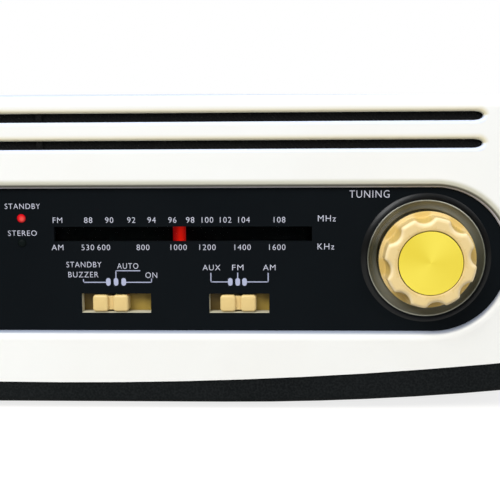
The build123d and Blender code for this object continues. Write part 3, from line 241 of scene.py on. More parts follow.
class Wiring:
    """Adds nodes to one tree and joins them."""

    def __init__(self, tree: Tree) -> None:
        """Keeps the tree that the nodes go into."""
        self.tree = tree

    def fill(self, node: Node, **values: object) -> Node:
        """Sets or joins a node's inputs.

        Args:
            node: the node.
            values: input name (an underscore stands for a space) or i0, i1 ... for a place; a socket is
                joined and anything else is set.

        Returns:
            The node.
        """
        for key, value in values.items():
            by_place = key[0] == "i" and key[1:].isdigit()
            socket = node.inputs[int(key[1:]) if by_place else key.replace("_", " ")]
            if isinstance(value, Socket):
                self.tree.links.new(value, socket)
            else:
                socket.default_value = value
        return node

    def add(self, kind: str, options: dict | None = None, **values: object) -> Node:
        """Adds a node, sets its options and fills its inputs."""
        node = self.tree.nodes.new(kind)
        for key, value in (options or {}).items():
            setattr(node, key, value)
        return self.fill(node, **values)

    def math(self, operation: str, first: object, second: object = 0.0) -> Socket:
        """A Math node's result."""
        return self.add("ShaderNodeMath", {"operation": operation}, i0=first, i1=second).outputs[0]

    def plus(self, first: object, second: object) -> Socket:
        """The sum of two values."""
        return self.math("ADD", first, second)

    def minus(self, first: object, second: object) -> Socket:
        """The first value less the second."""
        return self.math("SUBTRACT", first, second)

    def times(self, first: object, second: object) -> Socket:
        """The product of two values."""
        return self.math("MULTIPLY", first, second)

    def length(self, first: Socket, second: Socket) -> Socket:
        """The root of the sum of two squares."""
        return self.math("SQRT", self.plus(self.times(first, first), self.times(second, second)))

    def vector(self, operation: str, first: object, second: object) -> Sequence[Socket]:
        """A Vector Math node's outputs."""
        return self.add("ShaderNodeVectorMath", {"operation": operation}, i0=first, i1=second).outputs

    def axes(self, vector: Socket) -> tuple[Socket, ...]:
        """X, Y and Z of a vector."""
        return tuple(self.add("ShaderNodeSeparateXYZ", i0=vector).outputs)

    def ramp(self, value: Socket, low: float, high: float) -> Socket:
        """Stretches low..high to 0..1 and clamps it, smoothly."""
        options = {"interpolation_type": "SMOOTHSTEP"}
        return self.add("ShaderNodeMapRange", options, Value=value, From_Min=low, From_Max=high).outputs[0]

    def mix(self, factor: object, first: object, second: object) -> Socket:
        """Mixes two colours."""
        return self.add("ShaderNodeMix", {"data_type": "RGBA"}, i0=factor, i6=first, i7=second).outputs[2]

    def noise(self, where: Socket, scale: object, detail: float, **more: object) -> Socket:
        """A noise of 0 to 1."""
        return self.add("ShaderNodeTexNoise", Vector=where, Scale=scale, Detail=detail, **more).outputs[0]

    def effect(self, tree: Tree, where: Socket, **values: object) -> Sequence[Socket]:
        """Places a shared effect with its own values and gives its outputs."""
        return self.add("ShaderNodeGroup", {"node_tree": tree}, i0=where, **values).outputs

    def bump(self, shader: Node, height: Socket, depth: float) -> None:
        """Feeds a height to the shader's normal, its full range being depth in metres."""
        node = self.add("ShaderNodeBump", Height=height, Distance=depth, Strength=1.0)
        self.fill(shader, Normal=node.outputs[0])


class Group(Wiring):
    """A shader node group in the making: it is given coordinates, then its named values."""

    def __init__(self, name: str, outputs: Sequence[str], **inputs: float | Point) -> None:
        """Starts the group.

        Args:
            name: the group's name.
            outputs: names of its outputs, each one number.
            inputs: input name (an underscore stands for a space) to its default.
        """
        super().__init__(bpy.data.node_groups.new(name, "ShaderNodeTree"))
        sides = self.tree.interface
        sides.new_socket(name="Vector", in_out="INPUT", socket_type="NodeSocketVector")
        for label, default in inputs.items():
            kind = "NodeSocketVector" if isinstance(default, tuple) else "NodeSocketFloat"
            socket = sides.new_socket(name=label.replace("_", " "), in_out="INPUT", socket_type=kind)
            socket.default_value = default
        for label in outputs:
            sides.new_socket(name=label, in_out="OUTPUT", socket_type="NodeSocketFloat")
        self.given = self.tree.nodes.new("NodeGroupInput").outputs
        self.sink = self.tree.nodes.new("NodeGroupOutput")

    def close(self, *values: Socket) -> Tree:
        """Joins the outputs in order and gives the finished tree."""
        for socket, value in zip(self.sink.inputs, values):
            self.tree.links.new(value, socket)
        return self.tree


class Effects:
    """Shader node groups that more than one finish uses, each built once."""

    @cached_property
    def grain(self) -> Tree:
        """Moulded grain: rounded cells of the given size with finer noise on them, as height and mask."""
        w = Group("moulded_grain", ("Height", "Mask"), Cells_per_metre=1500.0)
        where, scale = w.given[0], w.given[1]
        voronoi = w.add("ShaderNodeTexVoronoi", {"feature": "SMOOTH_F1"}, Vector=where, Scale=scale)
        cells = voronoi.outputs["Distance"]
        fine = w.noise(where, w.times(scale, 2.1), 2.0)
        return w.close(w.plus(cells, w.times(fine, 0.6)), w.ramp(cells, 0.2, 0.7))

    @cached_property
    def handling(self) -> Tree:
        """Slow, soft clouding of a surface from handling and age, as a mask of 0 to 1."""
        w = Group("handling_marks", ("Mask",), Scale=30.0)
        return w.close(w.ramp(w.noise(w.given[0], w.given[1], 3.0, Roughness=0.6), 0.3, 0.75))

    @cached_property
    def dust(self) -> Tree:
        """Dust that settles on faces that look up: the normal's Z, broken up by noise."""
        w = Group("settled_dust", ("Mask",), Amount=0.1)
        up = w.ramp(w.axes(w.add("ShaderNodeNewGeometry").outputs["Normal"])[2], 0.55, 1.0)
        specks = w.ramp(w.noise(w.given[0], 900.0, 2.0), 0.35, 0.8)
        return w.close(w.times(w.times(up, specks), w.given[1]))

    @cached_property
    def streaks(self) -> Tree:
        """Brushed lines: noise squeezed along one direction by the stretch vector, as height and mask."""
        w = Group("brushed_streaks", ("Height", "Mask"), Stretch=(60.0, 4000.0, 4000.0))
        lines = w.noise(w.vector("MULTIPLY", w.given[0], w.given[1])[0], 1.0, 3.0)
        return w.close(lines, w.ramp(lines, 0.35, 0.65))

    @cached_property
    def rings(self) -> Tree:
        """Turning marks round a line along Y.

        They come as the height of fine rings, a slow painted sweep of sheen with the angle, the radius, and a
        painted glint of sharp ring-shaped streaks towards the upper left.
        """
        outputs = ("Height", "Sweep", "Radius", "Glint")
        w = Group("turning_rings", outputs, Centre=(0.0, 0.0, 0.0), Rings_per_metre=6000.0)
        x, _, z = w.axes(w.vector("SUBTRACT", w.given[0], w.given[1])[0])
        radius = w.length(x, z)
        along = {"W": w.times(radius, w.given[2]), "Scale": 1.0, "Detail": 2.0}
        line = w.add("ShaderNodeTexNoise", {"noise_dimensions": "1D"}, **along).outputs[0]
        angle = w.math("ARCTAN2", z, x)
        # Painted sheen: the sweep is fixed to the angle round the middle.
        twofold = w.math("SINE", w.plus(w.times(angle, 2.0), 2.4))
        threefold = w.math("SINE", w.plus(w.times(angle, 3.0), 0.4))
        sweep = w.plus(w.plus(w.times(twofold, 0.35), w.times(threefold, 0.15)), 0.5)
        # Painted glint towards the upper left.
        towards = w.ramp(w.math("COSINE", w.minus(angle, 2.45)), 0.88, 0.99)
        return w.close(line, sweep, radius, w.times(towards, w.ramp(line, 0.42, 0.56)))

    @cached_property
    def opening(self) -> Tree:
        """Place relative to a round-ended opening in the XZ plane.

        With q = max(|x| - straight, 0) and v = z - height, the distance is sqrt(q q + v v) - half height and
        the rise is v over that root.
        """
        w = Group("opening_distance", ("Distance", "Rise"), Height=0.05, Straight=0.1, Half_height=0.01)
        x, _, z = w.axes(w.given[0])
        across = w.math("MAXIMUM", w.minus(w.math("ABSOLUTE", x), w.given[2]), 0.0)
        up = w.minus(z, w.given[1])
        reach = w.length(across, up)
        return w.close(w.minus(reach, w.given[3]), w.math("DIVIDE", up, reach))

    @cached_property
    def weave(self) -> Tree:
        """Plain weave in the XZ plane: two crossed waves multiplied, as height and mask."""
        w = Group("plain_weave", ("Height", "Mask"), Threads_per_metre=1600.0)
        x, _, z = w.axes(w.given[0])
        turn = w.times(w.given[1], math.pi)
        woven = w.times(w.math("SINE", w.times(x, turn)), w.math("SINE", w.times(z, turn)))
        return w.close(woven, w.ramp(w.math("ABSOLUTE", woven), 0.1, 0.8))


EFFECTS = Effects()


# Finishes


@dataclass(frozen=True)
class Finish:
    """What every finish has: a name, a base colour, and a second colour that it drifts towards."""

    name: str
    colour: Colour
    drift: Colour
    roughness: float = 0.4
    specular: float = 0.5
    clouds: float = 18.0
    wear: float = 0.08

    @cached_property
    def material(self) -> bpy.types.Material:
        """The material, made when it is first asked for."""
        made = bpy.data.materials.new(self.name)
        made.use_nodes = True
        w = Wiring(made.node_tree)
        shader = made.node_tree.nodes["Principled BSDF"]
        w.fill(shader, Roughness=self.roughness, Specular_IOR_Level=self.specular)
        self.wire(w, shader, w.add("ShaderNodeTexCoord").outputs["Object"])
        return made

    def wire(self, w: Wiring, shader: Node, where: Socket) -> None:
        """Fills the rest of the shader, each kind of finish in its own way.

        Args:
            w: the material's wiring.
            shader: its Principled shader.
            where: its Object coordinates.
        """
        raise NotImplementedError

    def drifted(self, w: Wiring, mask: Socket) -> Socket:
        """The base colour, turning into the second one by a mask."""
        return w.mix(mask, linear(self.colour), linear(self.drift))

    def worn(self, w: Wiring, mask: Socket) -> Socket:
        """The roughness, raised where a mask shows wear."""
        return w.plus(w.times(mask, self.wear), self.roughness)

    def cloud(self, w: Wiring, where: Socket) -> Socket:
        """The mask of handling and age."""
        return w.effect(EFFECTS.handling, where, Scale=self.clouds)[0]


@dataclass(frozen=True)
class MouldedPlastic(Finish):
    """Injection-moulded or sprayed plastic with a grain, soft clouding and a little dust on top."""

    cells: float = 1800.0
    depth: float = 0.00001
    coat: float = 0.0
    coat_roughness: float = 0.12
    dust: float = 0.06
    dulling: float = 0.5
    speckle: float = 0.0
    speckle_step: int = 60

    def with_painted_light(self, w: Wiring, where: Socket, base: Socket) -> Socket:
        """The colour under the dust; kinds of plastic with painted shade and highlights add them here."""
        return base

    def wire(self, w: Wiring, shader: Node, where: Socket) -> None:
        """Wires the grain, the clouding and the dust."""
        height, cell = w.effect(EFFECTS.grain, where, Cells_per_metre=self.cells)
        cloud = self.cloud(w, where)
        dust = w.effect(EFFECTS.dust, where, Amount=self.dust)[0]
        base = self.drifted(w, cloud)
        if self.speckle:
            lighter = tuple(min(255, c + self.speckle_step) for c in self.colour)
            base = w.mix(w.times(cell, self.speckle), base, linear(lighter))
        w.fill(
            shader,
            Base_Color=w.mix(dust, self.with_painted_light(w, where, base), linear(DUST_COLOUR)),
            Roughness=w.plus(self.worn(w, cloud), w.times(dust, self.dulling)),
            Coat_Weight=self.coat,
            Coat_Roughness=self.coat_roughness,
        )
        w.bump(shader, height, self.depth)


@dataclass(frozen=True)
class PaintedLipLight:
    """A colour of painted shade and highlight that a lip takes on between two distances from its opening's
    edge, in millimetres.
    """

    colour: Colour
    start: float
    end: float


@dataclass(frozen=True)
class Opening:
    """A round-ended opening in the front face and the painted shade and highlights of its upper and its lower
    lip.
    """

    height: float
    half_length: float
    half_height: float
    upper: tuple[PaintedLipLight, ...]
    lower: tuple[PaintedLipLight, ...]


@dataclass(frozen=True)
class LippedPlastic(MouldedPlastic):
    """Gloss cabinet plastic: painted shade and highlights on its lips grow towards their openings, and a
    painted shade line runs along its top.
    """

    openings: tuple[Opening, ...] = ()
    lip_turn: float = 0.25
    # The rim colour is painted shade: a bluish line along the rounded top edge.
    rim: Colour = (196, 206, 220)
    rim_heights: Pair = (109.2, 110.2)
    rim_depths: Pair = (5.0, 4.0)

    def with_painted_light(self, w: Wiring, where: Socket, base: Socket) -> Socket:
        """Adds the painted shade and highlights of the lips and the painted shade line along the top."""
        for opening in self.openings:
            distance, rise = w.effect(
                EFFECTS.opening, where, Height=opening.height * MM, Half_height=opening.half_height * MM,
                Straight=(opening.half_length - opening.half_height) * MM,
            )
            for tones, edge in ((opening.upper, self.lip_turn), (opening.lower, -self.lip_turn)):
                side = w.ramp(rise, 0.0, edge)
                for tone in tones:
                    near = w.ramp(distance, tone.start * MM, tone.end * MM)
                    base = w.mix(w.times(near, side), base, linear(tone.colour))
        # Painted shade line along the top edge.
        _, y, z = w.axes(where)
        top = w.ramp(z, *(height * MM for height in self.rim_heights))
        front = w.ramp(y, *((FRONT + depth) * MM for depth in self.rim_depths))
        return w.mix(w.times(top, front), base, linear(self.rim))


@dataclass(frozen=True)
class CarvedPlastic(MouldedPlastic):
    """Smooth plastic with painted shade where it is carved in and a painted highlight along its rolled edges.
    """

    # Painted shade in the notches.
    hollow_shade: Colour = (212, 180, 100)
    # Painted highlight along the rolled face edge.
    crest: Colour = (252, 232, 188)

    def with_painted_light(self, w: Wiring, where: Socket, base: Socket) -> Socket:
        """Adds the painted shade and the painted highlight by the point attributes that the mesh carries."""
        for name, tone in (("hollow_shade", self.hollow_shade), ("crest", self.crest)):
            mask = w.add("ShaderNodeAttribute", {"attribute_name": name}).outputs["Fac"]
            base = w.mix(mask, base, linear(tone))
        return base


@dataclass(frozen=True)
class Metal(Finish):
    """Bare or plated metal with brushed lines along one direction."""

    clouds: float = 60.0
    wear: float = 0.12
    stretch: Point = (60.0, 3000.0, 3000.0)
    depth: float = 0.000004
    anisotropy: float = 0.3

    def wire(self, w: Wiring, shader: Node, where: Socket) -> None:
        """Wires the brushed lines."""
        height, line = w.effect(EFFECTS.streaks, where, Stretch=self.stretch)
        w.fill(
            shader, Base_Color=self.drifted(w, line), Roughness=self.worn(w, self.cloud(w, where)),
            Metallic=1.0, Anisotropic=self.anisotropy,
        )
        w.bump(shader, height, self.depth)


@dataclass(frozen=True)
class SpunMetal(Finish):
    """A turned metal disc: rings round its middle, a painted sweep of sheen, a painted glint and a near-black
    outer zone.
    """

    wear: float = 0.12
    centre: Point = (0.0, 0.0, 0.0)
    metallic: float = 1.0
    zone: float = 1000.0
    zone_edge: float = 0.15
    outer: Colour = (16, 17, 15)
    # Strength and colour of a painted highlight glint.
    glint: float = 0.0
    glint_colour: Colour = (214, 214, 206)
    pitch: float = 5200.0
    depth: float = 0.000004

    def wire(self, w: Wiring, shader: Node, where: Socket) -> None:
        """Wires the rings, the painted sheen sweep, the painted glint and the outer zone."""
        height, sweep, radius, glint = w.effect(
            EFFECTS.rings, where, Centre=metres(self.centre), Rings_per_metre=self.pitch
        )
        # The sweep of sheen is painted between the two colours, and the glint is a painted highlight.
        base = w.mix(w.times(glint, self.glint), self.drifted(w, sweep), linear(self.glint_colour))
        outside = w.ramp(radius, self.zone * MM, (self.zone + self.zone_edge) * MM)
        w.fill(
            shader, Base_Color=w.mix(outside, base, linear(self.outer)), Roughness=self.worn(w, height),
            Metallic=self.metallic,
        )
        w.bump(shader, height, self.depth)


@dataclass(frozen=True)
class ClearPlastic(Finish):
    """Clear window plastic with faint wiping marks, which bends and mirrors hardly any light."""

    clouds: float = 90.0
    wear: float = 0.03
    bending: float = 1.08

    def wire(self, w: Wiring, shader: Node, where: Socket) -> None:
        """Wires the wiping marks."""
        cloud = self.cloud(w, where)
        w.fill(
            shader, Base_Color=self.drifted(w, cloud), Roughness=self.worn(w, cloud), Transmission_Weight=1.0,
            IOR=self.bending,
        )


@dataclass(frozen=True)
class Glow(Finish):
    """A lit or dark lamp: coloured plastic, brighter in its middle when it is on."""

    specular: float = 0.08
    clouds: float = 700.0
    light: float = 0.0
    centre: Point = (0.0, 0.0, 0.0)
    radius: float = 1.5
    fade: Pair = (1.2, 0.15)
    cloudiness: float = 0.15
    core: Colour = (255, 255, 255)

    def wire(self, w: Wiring, shader: Node, where: Socket) -> None:
        """Wires the lit middle, which fades between two shares of the radius."""
        offset = w.vector("DISTANCE", where, metres(self.centre))[1]
        near = w.ramp(offset, *(self.radius * share * MM for share in self.fade))
        w.fill(
            shader, Base_Color=self.drifted(w, w.times(self.cloud(w, where), self.cloudiness)),
            Emission_Color=w.mix(near, linear(self.colour), linear(self.core)), Emission_Strength=self.light,
        )


@dataclass(frozen=True)
class ShadedPlate(Finish):
    """A plate set deep in a window with painted shade: darker towards its left end, as its window's walls
    shade it.
    """

    clouds: float = 200.0
    cloudiness: float = 0.06
    ends: Pair = (0.0, 1.0)

    def wire(self, w: Wiring, shader: Node, where: Socket) -> None:
        """Wires the painted shade from end to end."""
        cloud = self.cloud(w, where)
        along = w.ramp(w.axes(where)[0], self.ends[0] * MM, self.ends[1] * MM)
        base = self.drifted(w, w.plus(along, w.times(cloud, self.cloudiness)))
        w.fill(shader, Base_Color=base, Roughness=self.worn(w, cloud))


@dataclass(frozen=True)
class PaintedGlowBlade(Finish):
    """A coloured blade with a painted glow, though it is no lamp: a painted highlight along one upright line,
    darker towards both edges.
    """

    specular: float = 0.1
    clouds: float = 400.0
    cloudiness: float = 0.2
    middle: float = 0.0
    reach: float = 2.0
    core: Colour = (255, 40, 20)
    light: float = 0.5

    def wire(self, w: Wiring, shader: Node, where: Socket) -> None:
        """Wires the painted bright line and the glow."""
        off = w.math("ABSOLUTE", w.minus(w.axes(where)[0], self.middle * MM))
        body = self.drifted(w, w.times(self.cloud(w, where), self.cloudiness))
        mixed = w.mix(w.ramp(off, self.reach * MM, 0.0), body, linear(self.core))
        w.fill(shader, Base_Color=mixed, Emission_Color=mixed, Emission_Strength=self.light)


@dataclass(frozen=True)
class Ink(Finish):
    """Printed ink: flat, with tiny thin spots."""

    specular: float = 0.2
    spots: float = 6000.0
    thinness: float = 0.25
    light: float = 0.0

    def wire(self, w: Wiring, shader: Node, where: Socket) -> None:
        """Wires the thin spots, and the glow of lit ink."""
        spot = w.effect(EFFECTS.grain, where, Cells_per_metre=self.spots)[1]
        base = self.drifted(w, w.times(spot, self.thinness))
        w.fill(shader, Base_Color=base)
        if self.light:
            w.fill(shader, Emission_Color=base, Emission_Strength=self.light)


@dataclass(frozen=True)
class Cloth(Finish):
    """Woven cloth or thread; its own colour is the threads' and the second one the gaps'."""

    specular: float = 0.2
    threads: float = 1600.0
    depth: float = 0.0001

    def wire(self, w: Wiring, shader: Node, where: Socket) -> None:
        """Wires the weave."""
        height, thread = w.effect(EFFECTS.weave, where, Threads_per_metre=self.threads)
        w.fill(shader, Base_Color=w.mix(thread, linear(self.drift), linear(self.colour)))
        w.bump(shader, height, self.depth)


@dataclass(frozen=True)
class CircuitBoard(Finish):
    """Green lacquered board with pale copper tracks under the lacquer."""

    cell_scale: float = 160.0
    track_width: float = 0.02
    track_step: int = 40
    depth: float = 0.00003

    def wire(self, w: Wiring, shader: Node, where: Socket) -> None:
        """Wires the tracks."""
        track = linear(tuple(min(255, c + self.track_step) for c in self.drift))
        options = {"offset": 0.37, "squash": 1.6, "squash_frequency": 3}
        tracks = w.add(
            "ShaderNodeTexBrick", options, Vector=where, Scale=self.cell_scale, Mortar_Size=self.track_width,
            Color1=linear(self.colour), Color2=linear(self.drift), Mortar=track,
        ).outputs
        w.fill(shader, Base_Color=tracks[0])
        w.bump(shader, tracks[1], self.depth)


class Look:
    """The radio's finishes, one of each."""

    # Painted light on the cabinet's lips: a tan painted shade above each slot and a bluish painted highlight
    # below it; above the panel opening a painted shade band with a pale painted highlight line; a bluish-grey
    # painted shade along its lower lip.
    slot_lip_painted_light = (PaintedLipLight((222, 213, 180), 2.3, 0.2),), (PaintedLipLight((220, 229, 249), 1.5, 0.3),)
    panel_upper_painted_light = (
        PaintedLipLight((206, 204, 186), 3.5, 2.0), PaintedLipLight((104, 103, 92), 1.6, 1.0), PaintedLipLight((236, 232, 236), 0.62, 0.42),
    )
    panel_lower_painted_shade = (PaintedLipLight((150, 158, 174), 0.5, -0.7),)
    cabinet = LippedPlastic(
        "cabinet_white", (243, 243, 239), (240, 239, 234), 0.36, cells=2600.0, depth=0.000003, specular=0.4,
        coat=0.05, dust=0.02, dulling=0.0,
        openings=(
            Opening(OPENING_CENTRE, OPENING_HALF_LENGTH, OPENING_HALF_HEIGHT, panel_upper_painted_light, panel_lower_painted_shade),
            Opening(93.2, 145.0, 1.5, *slot_lip_painted_light),
            Opening(102.5, 145.0, 1.5, *slot_lip_painted_light),
        ),
    )
    case = MouldedPlastic(
        "case_black", (16, 19, 20), (11, 14, 15), 0.6, cells=1500.0, depth=0.00004, specular=0.06, dust=0.0,
        speckle=0.08,
    )
    panel = MouldedPlastic(
        "panel_black", (12, 16, 19), (14, 18, 21), 0.5, cells=3000.0, depth=0.000003, specular=0.03, dust=0.0
    )
    carved = CarvedPlastic(
        "knob_carved", (225, 196, 131), (221, 192, 126), 0.36, cells=2600.0, depth=0.000003, specular=0.45,
        dust=0.0, clouds=60.0,
    )
    cream = MouldedPlastic(
        "knob_cream", (226, 198, 134), (221, 192, 126), 0.38, cells=2600.0, depth=0.000004, specular=0.45,
        coat=0.08, dust=0.0,
    )
    # Pale strips standing for the lit bottom and left walls of the switch windows: a painted highlight.
    lit_sill = MouldedPlastic(
        "window_sill_highlight", (206, 202, 178), (190, 184, 158), 0.45, cells=2600.0, depth=0.000004, dust=0.0
    )
    grey_button = MouldedPlastic(
        "button_grey", (172, 168, 156), (164, 160, 148), 0.4, cells=2600.0, depth=0.000006
    )
    black_switch = MouldedPlastic(
        "switch_black", (24, 24, 26), (30, 30, 32), 0.42, cells=2400.0, depth=0.00001, specular=0.2
    )
    dial_black = MouldedPlastic(
        "dial_black", (5, 9, 12), (5, 8, 10), 0.7, cells=2600.0, depth=0.000006, specular=0.05, dust=0.0
    )
    clear = ClearPlastic("clear_plastic", (238, 242, 242), (230, 236, 236), 0.02)
    display = MouldedPlastic(
        "display_glass", (8, 11, 11), (10, 14, 13), 0.2, cells=3000.0, depth=0.000001, specular=0.2, dust=0.0
    )
    steel = Metal("steel", (176, 176, 172), (150, 150, 146), 0.32)
    zinc = Metal("zinc", (160, 160, 156), (134, 134, 128), 0.42, stretch=(900.0, 900.0, 900.0))
    chrome = Metal("chrome", (226, 228, 230), (214, 216, 220), 0.1, depth=0.000001, anisotropy=0.0)
    screw = Metal("screw_black", (52, 52, 54), (40, 40, 42), 0.38, stretch=(1500.0, 1500.0, 1500.0))
    board = CircuitBoard("circuit_board", (24, 78, 46), (18, 64, 38), 0.35)
    chip = MouldedPlastic("chip_black", (22, 22, 24), (28, 28, 30), 0.5)
    can = MouldedPlastic("can_blue", (34, 48, 92), (28, 40, 80), 0.3)
    tin_case = MouldedPlastic("capacitor_case", (196, 196, 186), (184, 184, 174), 0.3)
    nylon = MouldedPlastic("pulley_white", (222, 218, 204), (212, 208, 192), 0.4)
    thread = Cloth("cord_thread", (206, 196, 168), (150, 140, 116), 0.8, threads=3000.0)
    mesh = Cloth("mesh_cloth", (9, 9, 7), (3, 3, 3), 0.9, threads=1400.0)
    speaker = MouldedPlastic("speaker_steel", (44, 44, 46), (38, 38, 40), 0.45)
    paper = MouldedPlastic(
        "cone_paper", (40, 38, 36), (30, 28, 26), 0.9, cells=1200.0, depth=0.00008, specular=0.1
    )
    ferrite = MouldedPlastic("ferrite", (46, 44, 44), (56, 54, 53), 0.6, cells=1800.0, depth=0.00003)
    copper = Metal(
        "copper_wire", (190, 110, 58), (150, 80, 40), 0.3, stretch=(9000.0, 200.0, 200.0), depth=0.00006
    )
    tape = MouldedPlastic("coil_tape", (214, 178, 66), (198, 160, 52), 0.4)
    rubber = MouldedPlastic(
        "rubber", (26, 26, 26), (34, 33, 32), 0.75, cells=1400.0, depth=0.00002, specular=0.25
    )
    ink = Ink("legend_ink", (204, 206, 220), (180, 182, 198), 0.6)
    mark_ink = Ink("mark_ink", (176, 181, 206), (150, 155, 180), 0.6)
    digits = Ink("clock_digits", (190, 24, 16), (160, 12, 8), 0.6, light=0.9)


NODE_FINISHES: tuple[tuple[Finish, str], ...] = (
    (Look.cabinet, "front_shell"),
    (Look.case, "rear_shell back_panel"),
    (Look.screw, "case_screws"),
    (Look.rubber, "feet"),
    (Look.panel, "control_panel"),
    (Look.cream, "tuning_knob volume_knob mode_switch_cap source_switch_cap"),
    (Look.steel, "tuning_shaft volume_shaft pointer_rail dial_chassis transformer_core"),
    (Look.zinc, "tuning_bushes volume_pot"),
    (Look.clear, "dial_lens clock_window"),
    (Look.dial_black, "dial_backplate"),
    (Look.nylon, "left_idler right_idler tuning_drum"),
    (Look.thread, "dial_cord"),
    (Look.tin_case, "tuning_capacitor"),
    (Look.black_switch, "mode_switch source_switch mains_inlet line_jack"),
    (Look.display, "clock_display"),
    (Look.grey_button, "clock_button_1 clock_button_2 clock_button_3 clock_button_4"),
    (Look.board, "control_board main_board"),
    (Look.mesh, "slot_mesh"),
    (Look.speaker, "left_speaker_frame right_speaker_frame"),
    (Look.paper, "left_speaker_cone right_speaker_cone"),
    (Look.ferrite, "left_speaker_magnet right_speaker_magnet ferrite_rod"),
    (Look.can, "board_capacitors"),
    (Look.chip, "board_chips"),
    (Look.tape, "transformer_coil"),
    (Look.copper, "ferrite_coil"),
    (Look.chrome, "aerial_bracket aerial_swivel aerial_tube_1 aerial_tube_2 aerial_tube_3"),
)


def dress(node: str, material: bpy.types.Material) -> None:
    """Puts one material on every slot of a CAD node."""
    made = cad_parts[node]
    for slot in made.material_slots:
        slot.material = material


# Printed legends

CAPITAL_HEIGHT = 0.729
LETTER_SPACING = 1.14
LETTER_THINNING = -0.01


@dataclass(frozen=True)
class Legend:
    """One printed word or number: its text, its middle, the height of its capitals and its width."""

    text: str
    across: float
    height: float
    tall: float
    wide: float = 0.0


def lettering(legend: Legend, y: float) -> Surface:
    """Makes flat printed letters in the XZ plane.

    The built-in letter outlines are made a mesh, then scaled so that a capital is legend.tall high and,
    where a width is given, the word is that wide.

    Args:
        legend: what to print and where.
        y: the depth of the print.

    Returns:
        The letters, facing the front.
    """
    curve = bpy.data.curves.new("letters", "FONT")
    curve.body = legend.text
    curve.size = 1.0
    curve.resolution_u = 4
    curve.space_character = LETTER_SPACING
    curve.offset = LETTER_THINNING
    holder = bpy.data.objects.new("letters", curve)
    bpy.context.collection.objects.link(holder)
    mesh = bpy.data.meshes.new_from_object(holder.evaluated_get(bpy.context.evaluated_depsgraph_get()))
    flat = np.empty(len(mesh.vertices) * 3)
    mesh.vertices.foreach_get("co", flat)
    flat = flat.reshape(-1, 3)
    faces = [tuple(p.vertices) for p in mesh.polygons]
    bpy.data.objects.remove(holder)
    bpy.data.curves.remove(curve)
    bpy.data.meshes.remove(mesh)
    scale_z = legend.tall / CAPITAL_HEIGHT
    scale_x = legend.wide / np.ptp(flat[:, 0]) if legend.wide else scale_z
    x = (flat[:, 0] - flat[:, 0].min()) * scale_x
    x += legend.across - x.max() / 2
    z = flat[:, 1] * scale_z + legend.height - legend.tall / 2
    return Surface(np.stack([x, np.full_like(x, y), z], -1), faces, smooth=False)


def strip(points: Sequence[Pair], width: float, y: float) -> Surface:
    """A flat printed line through points of the XZ plane, with square corners.

    Each stretch is a rectangle as wide as the line that runs half a width past both of its ends.

    Args:
        points: (x, z) along the line.
        width: the line's width.
        y: the depth of the print.

    Returns:
        The line.
    """
    parts = []
    for start, end in zip(points[:-1], points[1:]):
        a, b = np.array(start), np.array(end)
        along = (b - a) / np.linalg.norm(b - a) * width / 2
        side = np.array([-along[1], along[0]])
        corners = np.array([a - along - side, b + along - side, b + along + side, a - along + side])
        parts.append(Surface(np.insert(corners, 1, y, axis=1), [(0, 1, 2, 3)], smooth=False))
    return joined(parts)


def pill(across: float, height: float, wide: float, tall: float, y: float) -> Surface:
    """A flat upright rounded bar: a rectangle with a half circle at its top and bottom."""
    angle = np.linspace(0, np.pi, 10)
    radius = wide / 2
    top = np.stack([np.cos(angle) * radius, np.sin(angle) * radius + tall / 2 - radius], -1)
    ring = np.concatenate([top, -top]) + np.array([across, height])
    return Surface(np.insert(ring, 1, y, axis=1), [tuple(range(len(ring)))], smooth=False)


